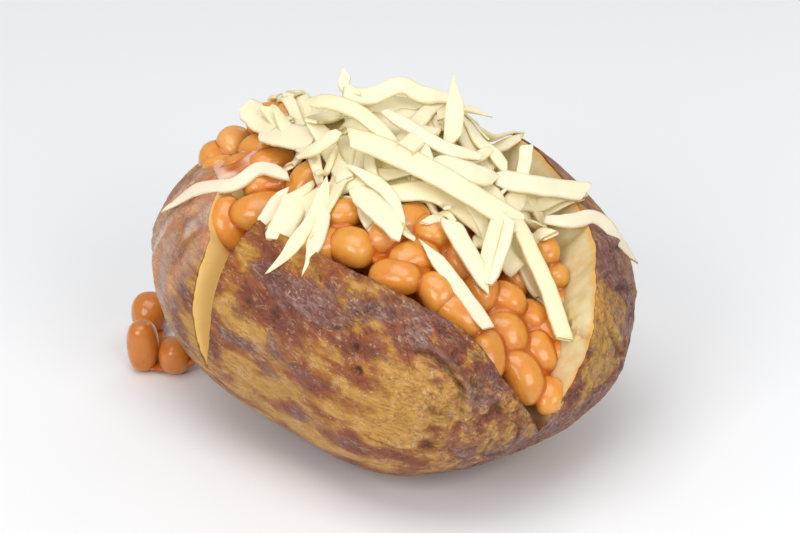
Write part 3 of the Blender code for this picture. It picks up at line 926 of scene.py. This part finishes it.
def surface_samples(obj, count, rng):
    """Points spread evenly over an object, with their normals."""
    mesh = obj.data
    mesh.calc_loop_triangles()
    corners = np.array([[mesh.vertices[i].co for i in t.vertices] for t in mesh.loop_triangles])
    one, two = corners[:, 1] - corners[:, 0], corners[:, 2] - corners[:, 0]
    cross = np.cross(one, two)
    size = np.linalg.norm(cross, axis=1)
    pick = rng.choice(len(corners), count, p=size / size.sum())
    a, b = rng.random((2, count))
    flip = a + b > 1
    a, b = np.where(flip, 1 - a, a), np.where(flip, 1 - b, b)
    return corners[pick, 0] + one[pick] * a[:, None] + two[pick] * b[:, None], unit(cross[pick])


def place_beans(rng):
    """Every bean of the heap: those that the front shows, then two layers of others."""
    beans = []
    for x, y, z, heading, pitch, length, width, cream in SEEN_BEANS:
        middle, along = np.array((x, y, z)) * MM, direction(heading, pitch)
        beans.append(Bean(middle, along, VIEW_SIDE, length * MM, width * MM, cream, True))
    for depth in (0.0, UNDER_LAYER):
        points, normals = surface_samples(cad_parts["bean_heap"], BEAN_TRIES, rng)
        for point, normal in zip(points, normals):
            width = rng.uniform(7.2, 8.6) * MM
            middle = point - normal * (depth + width / 2 - rng.uniform(-0.4, 0.7) * MM)
            near = min(np.linalg.norm(middle - bean.middle) for bean in beans)
            under = normal[2] < -0.2 or point[2] < LOWEST_BEAN
            thin = BEAN_TREE.find_nearest(middle)[3] < depth + 0.3 * width
            if near < BEAN_GAP or under or thin or not open_to_view(point):
                continue
            along = unit(np.cross(normal, unit(rng.normal(size=3))))
            length, cream = rng.uniform(9.6, 12.6) * MM, max(0.0, rng.normal(0.05, 0.25))
            beans.append(Bean(middle, along, normal, length, width, cream, False))
    return spread_beans(beans)


def spread_beans(beans):
    """Pushes overlapping beans apart. Those that were listed stay."""
    middle = np.array([bean.middle for bean in beans])
    along = np.array([bean.along for bean in beans])
    length = np.array([bean.length for bean in beans])
    width = np.array([bean.width for bean in beans])
    fixed = np.array([bean.seen for bean in beans])
    depth = np.array([BEAN_TREE.find_nearest(p)[3] for p in middle])
    count = len(beans)
    # Each bean counts as three balls along its length.
    reach = along * ((length - width) * 0.5)[:, None]
    owner = np.tile(np.arange(count), 3)
    radius = np.tile(width * 0.47, 3)
    for _ in range(SPREAD_ROUNDS):
        balls = np.concatenate((middle - reach, middle, middle + reach))
        tree = near_tree(balls)
        push = np.zeros((count, 3))
        for k, ball in enumerate(balls):
            for place, other, gap in tree.find_range(ball, 9 * MM):
                overlap = radius[k] + radius[other] - gap
                if owner[other] != owner[k] and overlap > 0:
                    push[owner[k]] += (ball - np.array(place)) / max(gap, 1e-6) * overlap * PUSH_SHARE
        push[fixed] = 0
        middle += push
        for k in np.flatnonzero(~fixed):
            _, normal, _, gap = BEAN_TREE.find_nearest(middle[k])
            middle[k] += np.array(normal) * (gap - depth[k]) * PULL_SHARE
    return [bean._replace(middle=place) for bean, place in zip(beans, middle)]


def bean_paint(name, pale, deep, film):
    """Haricot beans in tomato sauce: soft orange, a thin glossy film over them."""
    p = Paint(name, IOR=1.42, Subsurface_Weight=0.5, Subsurface_Radius=(1.0, 0.75, 0.4),
              Subsurface_Scale=0.9 * MM, Coat_Weight=0.8, Coat_Roughness=0.11, Coat_IOR=1.4)
    soft = p.noise(5.0, 3, 0.55)
    grain = p.noise(0.8, 3, 0.6)
    tone = p.sum((p.amount("tone"), 0.7), (soft, 0.5), -0.15)
    colour = p.mix(tone, pale, deep)
    colour = p.layer(colour, film, p.step(0.5, 0.75, p.noise(2.2, 3, 0.6)), 0.4)
    wet = p.step(0.0, 1.0, p.sum((p.amount("wet"), 1.0), (p.noise(1.8, 2), 0.4), -0.2))
    colour = p.layer(colour, film, wet, 0.7)
    cream = p.step(0.3, 0.9, p.sum((p.amount("cream"), 0.9), (soft, 0.5), -0.22))
    colour = p.layer(colour, BEAN_CREAM, cream, 0.6)
    rough = p.sum((grain, 0.2), 0.22)
    normal = p.bump(p.sum((p.noise(1.4, 2), 0.8), (grain, 0.25)), 0.12, 0.4)
    return p.finish(Base_Color=colour, Roughness=rough, Normal=normal)


def sauce_paint():
    """Tomato sauce between the beans: deep orange-red and wet, creamier where cheese ran into it."""
    p = Paint("bean_sauce", IOR=1.4, Coat_Weight=0.3, Coat_Roughness=0.1, Coat_IOR=1.4, Roughness=0.25)
    soft = p.noise(6.0, 3, 0.55)
    colour = p.mix(p.step(0.35, 0.65, soft), SAUCE_DEEP, SAUCE_RED)
    cream = p.step(0.7, 0.86, p.sum((p.noise(7.0, 2, 0.5, 0.5), 1.0), (p.amount("cream"), 0.3)))
    colour = p.layer(colour, SAUCE_CREAM_AND_SHEEN, cream, 0.7)
    normal = p.bump(p.noise(1.6, 2), 0.1, 0.5)
    return p.finish(Base_Color=colour, Normal=normal)


FINE_BALL = ball_grid(11)
PLAIN_BALL = ball_grid(7)
SAUCE_VOXEL = 0.65 * MM
SAUCE_SUNK = 0.25 * MM  # how far the sauce lies below the beans' tops, so that they stand out
SAUCE_COVER = 6.0 * MM  # beans over the sauce's core
SAUCE_SMOOTHING = 12


def make_beans(beans, rng):
    heap = Heap()
    for bean in beans:
        ball, quads = FINE_BALL if bean.seen else PLAIN_BALL
        heap.add(bean_points(ball, bean, rng), quads, tone=rng.random(), cream=bean.cream)
    return heap


def smoothed(points, faces, times):
    """The points pulled halfway to their neighbours' mean, so many times."""
    ends = np.concatenate([faces[:, [k, (k + 1) % 4]] for k in range(4)])
    ends = np.concatenate((ends, ends[:, ::-1]))
    number = np.bincount(ends[:, 0], minlength=len(points))[:, None]
    for _ in range(times):
        total = [np.bincount(ends[:, 0], points[ends[:, 1], k], len(points)) for k in range(3)]
        points = points + 0.5 * (np.stack(total, -1) / number - points)
    return points


def remeshed(points, faces, voxel):
    """One even outer surface round everything in this mesh."""
    lump = mesh_object("lump", points, faces, [])
    remesh = lump.modifiers.new("remesh", "REMESH")
    remesh.mode = "VOXEL"
    remesh.voxel_size = voxel
    made = lump.evaluated_get(bpy.context.evaluated_depsgraph_get()).to_mesh()
    out = np.empty(len(made.vertices) * 3, np.float32)
    made.vertices.foreach_get("co", out)
    quads = np.array([list(face.vertices) for face in made.polygons])
    bpy.data.objects.remove(lump)
    return out.reshape(-1, 3).astype(float), quads


def vertex_normals(points, faces):
    a, b, c, d = (points[faces[:, k]] for k in range(4))
    cross = np.cross(c - a, d - b)
    total = np.zeros_like(points)
    for k in range(4):
        np.add.at(total, faces[:, k], cross)
    return unit(total)


CORE_STEP = 3.0 * MM  # between the boxes that fill the sauce's core
BOX_OVERLAP = 0.55  # half a box's side in steps, so that neighbours overlap


def inside(tree, place):
    """True if a ray straight up from the place leaves the closed surface."""
    up = Vector((0, 0, 1))
    count, start = 0, Vector(place)
    while (hit := tree.ray_cast(start, up)[0]) is not None:
        count += 1
        start = hit + up * 0.01 * MM
    return count % 2 == 1


def heap_core(depth):
    """Boxes that fill the CAD bean heap deeper than this below its surface."""
    low, high = (np.array(corner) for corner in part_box("bean_heap"))
    axes = [np.arange(a, b, CORE_STEP) for a, b in zip(low, high)]
    grid = np.stack(np.meshgrid(*axes, indexing="ij"), -1).reshape(-1, 3)
    deep = [p for p in grid if inside(BEAN_TREE, p) and BEAN_TREE.find_nearest(p)[3] > depth]
    corners = np.array(list(itertools.product((-BOX_OVERLAP, BOX_OVERLAP), repeat=3))) * CORE_STEP
    boxes = Heap()
    for place in deep:
        boxes.add(place + corners, BOX_SIDES)
    return boxes


def make_sauce(heap):
    """The sauce's skin over beans, core and runs. It tells the beans how wet they are."""
    core, runs = heap_core(SAUCE_COVER), sauce_runs()
    together = Heap()
    for part in (heap, core, runs):
        for points, faces in zip(part.points, part.faces):
            together.add(points, faces - faces.min())
    points, quads = remeshed(*together.mesh(), SAUCE_VOXEL)
    points = smoothed(points, quads, SAUCE_SMOOTHING)
    points = points - vertex_normals(points, quads) * SAUCE_SUNK
    tree = BVHTree.FromPolygons(points.tolist(), quads.tolist())
    gaps = [signed_gap(tree, part) for part in heap.points]
    heap.amounts["wet"] = [1 - smooth_step(-0.2 * MM, 1.3 * MM, gap) for gap in gaps]
    near_run = near_tree(np.vstack(runs.points))
    gap = np.array([near_run.find(point)[2] for point in points])
    cream = (1 - smooth_step(0.8 * MM, 2.5 * MM, gap)) * (points[:, 2] > 30 * MM)
    return mesh_object("bean_sauce", points, quads.tolist(), [sauce_paint()], None, {"cream": cream})


def signed_gap(tree, points):
    """How far outside the tree's surface the points are; below 0 inside it."""
    gaps = np.empty(len(points))
    for k, point in enumerate(points):
        near, normal, _, gap = tree.find_nearest(point)
        gaps[k] = gap if (Vector(point) - near).dot(normal) > 0 else -gap
    return gaps


# Sauce that ran over the edge: the points it passes, each with how wide it is.
SAUCE_RUNS = (
    ((-33, 9.5, 59.5, 3.0), (-38, 7, 57.5, 3.4), (-43, 4.5, 55.3, 3.2), (-47.5, 4, 52.8, 2.2)),
    ((-36, 11, 58.5, 2.6), (-41.5, 9.5, 56.5, 2.4), (-46, 9.5, 54.3, 1.8), (-49, 9, 51.5, 1.4)),
    ((-61, 19, 1.2, 3.2), (-57, 18, 1.2, 3.4), (-53, 17, 2.0, 3.4), (-49, 16, 4.0, 2.4)),
    ((-61, 37, 1.5, 4.2), (-60.5, 30, 1.4, 5.0), (-59, 23, 1.5, 4.6)),
)


def sauce_runs():
    """Rows of overlapping balls along the runs, for the remesh to melt together."""
    runs = Heap()
    ball, quads = ball_grid(4)
    for run in SAUCE_RUNS:
        for x, y, z, radius in smooth_path(run, 4 * len(run)):
            size = np.array((radius, radius, min(z, max(0.75, 0.42 * radius))))
            if z > 10:
                size[2] = 0.6 * radius
            runs.add(np.array((x, y, z)) * MM + ball * size * MM, quads)
    return runs


def make_spilled(paint, rng):
    """Each spilled bean in its CAD node's place, its length, width and thickness along the sides of that
    node's box.
    """
    ball, quads = FINE_BALL
    for node in sorted(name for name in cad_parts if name.startswith("spilled")):
        low, high = (np.array(corner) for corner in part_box(node))
        size = high - low
        thin, middling, long = np.argsort(size)
        axes = np.eye(3)
        bean = Bean((low + high) / 2, axes[long], axes[thin], size[long], size[middling], 0.0, True)
        heap = Heap()
        heap.add(bean_points(ball, bean, rng), quads, tone=0.62, cream=bean.cream, wet=0.35)
        obj = heap.object(node + "_look", paint)
        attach(obj, "root")
        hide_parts(node)


# ---------------------------------------------------------------- grated cheese


def hit_below(tree, x, y):
    """The highest place of the surface on this plumb line, or None."""
    return tree.ray_cast(Vector((x, y, 0.2)), Vector((0, 0, -1)))[0]


class Pile:
    """The height of everything that the shreds have landed on, on an even grid."""

    CELL = 0.5 * MM
    LOW = np.array((-75.0, -65.0)) * MM
    SIZE = (300, 260)

    def __init__(self, trees):
        self.height = np.zeros(self.SIZE)
        self.land(trees)

    def land(self, trees):
        """Takes these surfaces into the pile."""
        for i, j in np.ndindex(self.SIZE):
            x, y = self.LOW + (np.array((i, j)) + 0.5) * self.CELL
            for tree in trees:
                hit = hit_below(tree, x, y)
                if hit is not None:
                    self.height[i, j] = max(self.height[i, j], hit.z)

    def cells(self, places):
        index = np.floor((places[..., :2] - self.LOW) / self.CELL).astype(int)
        return tuple(np.clip(index[..., k], 0, self.SIZE[k] - 1) for k in (0, 1))

    def read(self, places):
        return self.height[self.cells(places)]

    def add(self, places):
        np.maximum.at(self.height, self.cells(places), places[..., 2])


def upper_hull(s, z):
    """The tightest string over the points (s, z), read at every s."""
    hull = []
    for k in range(len(s)):
        while len(hull) > 1:
            i, j = hull[-2], hull[-1]
            if (z[j] - z[i]) * (s[k] - s[i]) > (z[k] - z[i]) * (s[j] - s[i]):
                break
            hull.pop()
        hull.append(k)
    return np.interp(s, s[hull], z[hull])


def soft_mean(values, reach):
    kernel = np.ones(2 * reach + 1) / (2 * reach + 1)
    return np.convolve(np.pad(values, reach, mode="edge"), kernel, "valid")


SECTION = 8  # points round a strand
STATIONS = 30  # points along a strand
SQUARE = 0.36  # how boxy a strand's section is: 1 is round, 0 is a box
# For ends from torn (0) to cut off (1): how wide the very end is and how far it tapers.
BLUNT = (0.0, 0.5, 1.0)
TIP_WIDTH = (0.05, 0.55, 0.94)
TIP_REACH = (0.45, 0.16, 0.04)


def wavy(path, rng):
    """About 1 along the path, for a strand's uneven edge."""
    slow = noise(path, 4.0 * MM, rng.integers(1000))
    return 1 + 0.10 * slow + 0.06 * noise(path, 1.3 * MM, rng.integers(1000))


def shred(heap, path, side, width, thick, rng, melt=0.0, ends=(0.5, 0.5)):
    """One grated strand: a thin strip along the path with uneven edges and torn ends."""
    count = len(path)
    s = np.linspace(0, 1, count)
    tangent = unit(np.gradient(path, axis=0))
    side = unit(side - (side * tangent).sum(axis=1, keepdims=True) * tangent)
    top = np.cross(tangent, side)
    top *= np.sign(top[:, 2:].sum())
    turn = np.linspace(0, 2 * np.pi, SECTION, endpoint=False) + np.pi / SECTION
    across = np.sign(np.cos(turn)) * np.abs(np.cos(turn)) ** SQUARE
    rise = np.sign(np.sin(turn)) * np.abs(np.sin(turn)) ** SQUARE
    left, right = wavy(path, rng), wavy(path, rng)
    length = np.linalg.norm(np.diff(path, axis=0), axis=1).sum()
    taper = np.ones(count)
    for far, blunt in ((s, ends[0]), (1 - s, ends[1])):
        tip = np.interp(blunt, BLUNT, TIP_WIDTH)
        reach = max(np.interp(blunt, BLUNT, TIP_REACH) * rng.uniform(0.7, 1.3), 0.15 * width / length)
        taper *= tip + (1 - tip) * np.clip(far / reach, 0, 1) ** rng.uniform(0.7, 1.1)
    edge = np.where(across[None] > 0, left[:, None], right[:, None])
    half = edge * taper[:, None] * width / 2 * across
    slant = rng.uniform(-0.55, 0.55, 2)
    cut = length / (1.6 * width)
    lean = slant[0] * np.clip(1 - cut * s, 0, 1) + slant[1] * np.clip(1 - cut * (1 - s), 0, 1)
    body = np.clip(taper, 0.5, 1) * thick / 2 * (1 + 0.15 * noise(path, 2 * MM, rng.integers(1000)))
    points = (path[:, None] + side[:, None] * half[..., None]
              + top[:, None] * (body[:, None] * rise)[..., None]
              + tangent[:, None] * (lean[:, None] * across * width)[..., None])
    faces = [quad for part in grid_faces(count, SECTION) for quad in part.tolist()]
    base = (count - 1) * SECTION
    for near in range(1, SECTION // 2):
        far = SECTION - near
        faces.append([near - 1, near, far - 1, far % SECTION])
        faces.append([base + far % SECTION, base + far - 1, base + near, base + near - 1])
    heap.add(points.reshape(-1, 3), faces, tone=rng.random(), melt=melt)


SAG = 0.45  # share of the way that a strand sags into the hollows that it spans
MOST_PROUD = 0.45  # share of a dropped strand that may lie above the heap's outline


def drop_shred(pile, heap, middle, heading, length, width, thick, rng, ceiling):
    """Lets a strand fall on the pile: it spans the hollows and sags a little into them."""
    s = np.linspace(-0.5, 0.5, STATIONS)
    turn = heading + rng.normal(0, 0.28) * s * 2
    step = length / (STATIONS - 1)
    path = np.cumsum(np.stack((np.cos(turn), np.sin(turn)), -1) * step, axis=0)
    path += middle - path[STATIONS // 2]
    side = np.stack((-np.sin(turn), np.cos(turn)), -1)
    lines = []
    for share in (-0.4, 0.0, 0.4):
        z = pile.read(path + side * share * width)
        lines.append((1 - SAG) * upper_hull(s * length, z) + SAG * soft_mean(z, 3))
    centre = np.maximum(lines[1], (lines[0] + lines[2]) / 2)
    roll = soft_mean(np.clip((lines[2] - lines[0]) / (0.8 * width), -0.9, 0.9), 5)
    z = soft_mean(centre, 2) + thick * 0.55 + (s**2 * rng.uniform(-1, 6) + s * rng.normal(0, 1.6)) * MM
    path = np.column_stack((path, z))
    if (z > ceiling(path)).mean() > MOST_PROUD:
        return False
    twist = rng.normal(0, 0.25) * np.sin(np.pi * (s + rng.uniform(0, 1)))
    side = np.column_stack((side, roll + rng.normal(0, 0.1) + twist))
    shred(heap, path, side, width, thick, rng, ends=rng.choice((0.1, 0.5, 0.8, 1.0, 1.0), 2))
    fine = np.stack([path + unit(side) * share * width for share in np.linspace(-0.45, 0.45, 9)])
    for places in (fine, (fine[:, 1:] + fine[:, :-1]) / 2):
        pile.add(places + np.array((0, 0, thick * 0.45)))
    return True


# Strands that the front shows: the points they pass, then width, thickness, melt, ends, roll.
SEEN_SHREDS = (
    (((-10.4, -7, 73.5), (-1, -13, 72.5), (9, -18, 69.5), (19, -20.5, 64), (28, -21, 58.5)),
     5.8, 1.5, 0.0, (0.9, 0.9), 0.3),
    (((26.5, -21, 60), (30, -24, 53), (33.5, -28.5, 46.5), (37, -36, 38)), 3.9, 1.6, 0.1, (0.7, 1.0), 0.2),
    (((5.5, -30.5, 59), (9, -33, 56), (13.5, -37, 51.5), (20, -43, 44.5)), 3.4, 1.1, 0.9, (0.1, 0.8), 0.0),
    (((12, -26, 62), (15, -29, 57), (20, -32.5, 50)), 4.4, 1.5, 0.15, (0.8, 0.6), 0.2),
    (((25, -22, 61), (23, -27, 55.5), (20, -33, 50)), 3.7, 1.4, 0.1, (0.9, 0.6), -0.3),
    (((22.5, -22.5, 61), (20.5, -27, 56), (19, -32, 51)), 3.2, 1.3, 0.1, (0.9, 0.8), 0.0),
    (((-15, -14, 65.5), (-18, -21, 60), (-22.5, -27, 55.5), (-28, -30.5, 51.5)),
     3.4, 1.4, 0.2, (0.5, 0.1), 0.3),
    (((-15.5, -19, 62), (-17, -26, 58), (-20, -33, 53.5)), 3.6, 1.3, 0.2, (0.5, 0.1), -0.2),
    (((-21.5, -11, 62.5), (-23, -16, 60), (-26, -22.5, 55.5)), 6.4, 1.2, 0.25, (0.7, 0.8), 0.1),
    (((-25, -9, 61.5), (-28, -14, 58), (-31, -18, 55)), 3.4, 0.9, 0.7, (0.5, 0.3), 0.1),
    (((-53, 5, 49.5), (-45, 2.5, 54.5), (-37, -1, 58.2), (-30.5, 0.5, 62), (-24, -4.5, 62.5)),
     3.4, 1.6, 0.85, (0.2, 0.5), 0.1),
    (((-9, -18, 66), (-4, -23, 63.5), (1.5, -28.5, 60.5)), 6.2, 1.4, 0.1, (0.5, 0.7), 0.4),
    (((33, -15, 57), (39, -13, 55.5), (45, -9, 54), (50, -9.5, 48.5), (54, -8.5, 43)),
     3.6, 1.4, 0.7, (0.4, 0.3), 0.3),
    (((22, -12, 65.5), (31, -10, 63), (38, -6, 60), (43, -3, 58)), 4.8, 1.3, 0.05, (0.6, 1.0), 0.5),
    (((29.5, -2, 69), (29, -5, 66.5), (28, -9, 63.5)), 3.2, 1.3, 0.1, (0.9, 0.5), 0.0),
    (((13.3, 5, 82.5), (13.2, -1, 78), (12.6, -7, 71.5)), 4.2, 1.5, 0.0, (0.05, 0.9), 0.0),
    (((15, 4, 75.5), (18, 5, 74.5), (21.5, 6, 72.5)), 1.6, 1.0, 0.0, (0.4, 0.1), 0.0),
    (((-11, 8.5, 82.5), (-11.5, 7, 80), (-9.5, 5, 78.5)), 2.8, 1.3, 0.0, (0.8, 0.7), 0.0),
    (((-12, 5, 79), (-6, 6, 77.5), (1, 9, 79), (6, 8.5, 76.5), (12, 8, 74)),
     4.2, 1.4, 0.0, (0.7, 0.5), 0.3),
    (((-20, 6, 76), (-14.5, 2, 78), (-8, -2, 77), (0, -9, 72.5)), 3.8, 1.4, 0.0, (0.5, 0.6), 0.2),
    (((-22, -2, 66), (-17, -4.5, 70), (-12.5, -5, 74)), 3.0, 1.3, 0.1, (0.3, 0.5), 0.2),
    (((-2.5, -1, 77), (4.5, -7, 75), (11, -11, 72.5), (19, -9.5, 69.5)), 3.0, 1.3, 0.0, (0.5, 0.5), 0.1),
    (((2, -14, 73.5), (5, -9, 74), (8, -4, 74)), 4.6, 1.5, 0.0, (1.0, 0.9), 0.0),
    (((8, -14, 71), (15, -15, 69), (22, -13, 65.5)), 5.0, 1.4, 0.0, (0.6, 0.6), 0.3),
    (((-35, 22, 68.5), (-31, 17, 66.5), (-26, 12, 67.5)), 6.5, 1.1, 0.5, (0.6, 0.9), 0.1),
    (((-31, 14, 65.5), (-25, 8, 67), (-18, 3, 68.5)), 7.0, 1.2, 0.4, (0.8, 0.7), 0.1),
)


def bare(places):
    """Where only the listed strands lie: the front edge, the left and the right end."""
    x, y = places[:, 0] / MM, places[:, 1] / MM
    return ((x < -25) & (y < 18)) | (y < -19) | ((x > 20) & (y > -5)) | (x > 32)


MOST_SHREDS = 700
LEAST_ROOM = 0.8 * MM  # between the pile and the heap's outline, for one more strand
OUTSIDE_SHARE = 0.14  # most of a strand that may lie beside the heap


def cheese_ceiling(places):
    """How high a dropped strand may lie: the heap's outline, and beside it anywhere or nowhere."""
    height = dome_height(places)
    outside = (height < 0) | bare(places)
    return np.where(outside, 1.0 if outside.mean() < OUTSIDE_SHARE else -1.0, height + 0.4 * MM)


def drop_shreds(pile, heap, rng):
    """Fills the heap up to its outline, each strand falling where most room is left."""
    grid, goal = dome_grid(1.5 * MM)
    for _ in range(MOST_SHREDS):
        room = goal - pile.read(grid) + rng.normal(0, 0.9 * MM, len(grid))
        best = int(np.argmax(room))
        if room[best] < LEAST_ROOM:
            break
        headings = rng.normal(-0.8, 0.35), rng.normal(0.7, 0.4), rng.uniform(0, np.pi)
        heading = rng.choice(headings, p=(0.6, 0.25, 0.15))
        if grid[best][1] > 8 * MM:
            heading = rng.uniform(0, np.pi)
        length, width = np.clip(rng.normal(25, 7), 12, 42) * MM, rng.uniform(2.6, 5.4) * MM
        if rng.random() < 0.3:
            length, width = rng.uniform(8, 14) * MM, rng.uniform(1.6, 4.0) * MM
        thick = rng.uniform(0.8, 1.3) * MM
        fell = drop_shred(pile, heap, grid[best], heading, length, width, thick, rng, cheese_ceiling)
        goal[best] -= (0.3 if fell else 1.2) * MM


def make_cheese(pile, rng):
    """The strands that fall on the pile, then those that the front shows, lifted clear of it."""
    heap = Heap()
    drop_shreds(pile, heap, rng)
    for points, width, thick, melt, ends, roll in SEEN_SHREDS:
        path = smooth_path(np.array(points) * MM, STATIONS - 1)
        if len(points) > 3:
            under = pile.read(path) + 0.4 * thick * MM - path[:, 2]
            path[:, 2] += soft_mean(soft_mean(np.clip(under, 0, 3 * MM), 4), 3)
        tangent = unit(np.gradient(path, axis=0))
        side = unit(np.cross((VIEW_SIDE + np.array((roll, 0, 0)))[None], tangent))
        shred(heap, path, side, width * MM, thick * MM, rng, melt, ends)
    return heap


def cheese_paint():
    """Grated mild cheese: pale yellow and waxy, whitish and wet where it has melted."""
    p = Paint("grated_cheese", IOR=1.43, Coat_Weight=0.15, Coat_Roughness=0.3)
    soft = p.noise(6.0, 3, 0.6)
    grain = p.noise(0.9, 3, 0.6)
    golden = p.sum((p.amount("tone"), 0.35), (soft, 0.35), -0.12)
    colour = p.mix(golden, CHEESE_PALE, CHEESE_GOLD)
    melt = p.step(0.25, 0.8, p.sum((p.amount("melt"), 1.0), (grain, 0.2), -0.1))
    colour = p.layer(colour, CHEESE_WET, melt, 0.8)
    rough = p.sum((grain, 0.2), (melt, -0.2), 0.34)
    normal = p.bump(p.sum((p.noise(1.8, 2), 0.7), (grain, 0.35)), 0.2, 0.5)
    p.finish(Base_Color=colour, Roughness=rough, Normal=normal)
    return p.let_light_through(0.22, CHEESE_GLOW)


def core_paint():
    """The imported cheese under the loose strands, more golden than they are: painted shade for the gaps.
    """
    p = Paint("packed_cheese", IOR=1.43, Subsurface_Weight=0.5, Subsurface_Radius=(1.0, 0.8, 0.5),
              Subsurface_Scale=0.8 * MM, Roughness=0.45)
    colour = p.mix(p.step(0.35, 0.7, p.noise(4.0, 3, 0.6)), CHEESE_GOLD, CHEESE_PALE)
    normal = p.bump(p.noise(2.2, 4, 0.65), 0.8, 0.8)
    return p.finish(Base_Color=colour, Normal=normal)


PACKED_CELL = 1.5 * MM
PACKED_DEPTH = 8.5 * MM  # how far below the cheese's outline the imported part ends
PACKED_THICK = 6 * MM
PACKED_VOXEL = 0.9 * MM
PACKED_SMOOTHING = 10
DOME_ACROSS = (-50, 55)  # the stretches of X and Y that hold the cheese heap
DOME_ALONG = (-45, 52)


def dome_height(places):
    """The height of the CAD cheese heap over these places, or -1 beside it."""
    found = [hit_below(CHEESE_TREE, *place[:2]) for place in places]
    return np.array([-1.0 if hit is None else hit.z for hit in found])


def dome_grid(cell):
    """Places an even cell apart under the cheese, and the heap's height there."""
    axes = [np.arange(low * MM, high * MM, cell) for low, high in (DOME_ACROSS, DOME_ALONG)]
    grid = np.stack(np.meshgrid(*axes, indexing="ij"), -1).reshape(-1, 2)
    height = dome_height(grid)
    return grid[height > 0], height[height > 0]


def make_cheese_core(pile):
    """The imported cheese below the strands, where the heap is thick enough to hold it."""
    grid, height = dome_grid(PACKED_CELL)
    top = height - PACKED_DEPTH + 0.8 * MM * noise(np.column_stack((grid, height)), 5 * MM, 51)
    thick = (top > pile.read(grid) - 1.0 * MM) & ~bare(grid)
    for side in np.array(((9, 0), (-9, 0), (0, 9), (0, -9))) * MM:
        thick &= (dome_height(grid + side) > 0) & ~bare(grid + side / 2)
    box = Heap()
    wide = (-BOX_OVERLAP, BOX_OVERLAP)
    corners = np.array(list(itertools.product(wide, wide, (0, 1))))
    for (x, y), z in zip(grid[thick], top[thick]):
        size = (PACKED_CELL, PACKED_CELL, PACKED_THICK)
        box.add(np.array((x, y, z - PACKED_THICK)) + corners * size, BOX_SIDES)
    points, quads = remeshed(*box.mesh(), PACKED_VOXEL)
    points = smoothed(points, quads, PACKED_SMOOTHING)
    return mesh_object("cheese_core", points, quads.tolist(), [core_paint()])


# ---------------------------------------------------------------- stage, light and camera

FLOOR_COLOUR = (0.87, 0.88, 0.895, 1.0)
FLOOR_HALF = 1.5
WORLD_STRENGTH = 0.42
LIT_PLACE = (0, 0, 0.03)
# Name, place, size and watts of each soft box.
SOFT_BOXES = (
    ("left_box", (-0.6, -0.95, 0.7), (0.6, 0.6), 6.3),
    ("right_box", (0.6, -0.95, 0.7), (0.6, 0.6), 5.6),
    ("back_box", (0.5, 0.95, 0.7), (0.6, 0.6), 1.1),
    ("top_box", (-0.1, -0.2, 1.0), (0.8, 0.6), 4.5),
)


def make_stage():
    paint = Paint("pale_floor", Roughness=0.45, Base_Color=FLOOR_COLOUR)
    corners = np.array(((-1, -1, 0), (1, -1, 0), (1, 1, 0), (-1, 1, 0))) * FLOOR_HALF
    floor = mesh_object("floor", corners, [(0, 1, 2, 3)], [paint.material])


def add_soft_box(name, place, size, power):
    light = bpy.data.lights.new(name, "AREA")
    light.shape = "RECTANGLE"
    light.size, light.size_y = size
    light.energy = power
    obj = linked(name, light)
    obj.location = place
    obj.rotation_euler = (Vector(LIT_PLACE) - Vector(place)).to_track_quat("-Z", "Y").to_euler()


def make_light():
    world = bpy.data.worlds.new("studio")
    bpy.context.scene.world = world
    world.use_nodes = True
    background = world.node_tree.nodes["Background"]
    background.inputs["Color"].default_value = (1.0, 1.0, 1.0, 1.0)
    background.inputs["Strength"].default_value = WORLD_STRENGTH
    for box in SOFT_BOXES:
        add_soft_box(*box)


VIEW_DISTANCE = 0.715
VIEW_DOWN = np.radians(27.18)
VIEW_LENS = 123.5
VIEW_TARGET = np.array((0.001, 0.073, 0.0))


def make_camera():
    camera = bpy.data.cameras.new("camera")
    camera.lens = VIEW_LENS
    camera.sensor_width = 36
    camera.clip_start = 0.01
    obj = linked("camera", camera)
    back = np.array((0, -np.cos(VIEW_DOWN), np.sin(VIEW_DOWN))) * VIEW_DISTANCE
    obj.location = VIEW_TARGET + back
    obj.rotation_euler = (np.pi / 2 - VIEW_DOWN, 0, 0)
    bpy.context.scene.camera = obj


# ---------------------------------------------------------------- everything put together

make_camera()
make_stage()
make_light()
bpy.context.scene.view_settings.view_transform = "Standard"
rng = np.random.default_rng(7)

potato = make_potato(skin_paint(), flesh_paint())
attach(potato, "root")
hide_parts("potato")

placed = place_beans(rng)
bean_heap = make_beans(placed, rng)
sauce = make_sauce(bean_heap)
beans = bean_heap.object("beans", bean_paint("baked_bean", BEAN_PALE, BEAN_DEEP, BEAN_FILM))
for piece in (beans, sauce):
    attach(piece, "root")
    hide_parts("bean_heap")
make_spilled(bean_paint("spilled_bean", BEAN_DEEP, BEAN_FILM, SAUCE_DEEP), rng)

pile = Pile([tree_of(obj) for obj in (beans, sauce, potato)])
core = make_cheese_core(pile)
pile.land([tree_of(core)])
cheese_heap = make_cheese(pile, rng)
cheese = cheese_heap.object("cheese_shreds", cheese_paint())
for piece in (core, cheese):
    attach(piece, "root")
    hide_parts("cheese_heap")
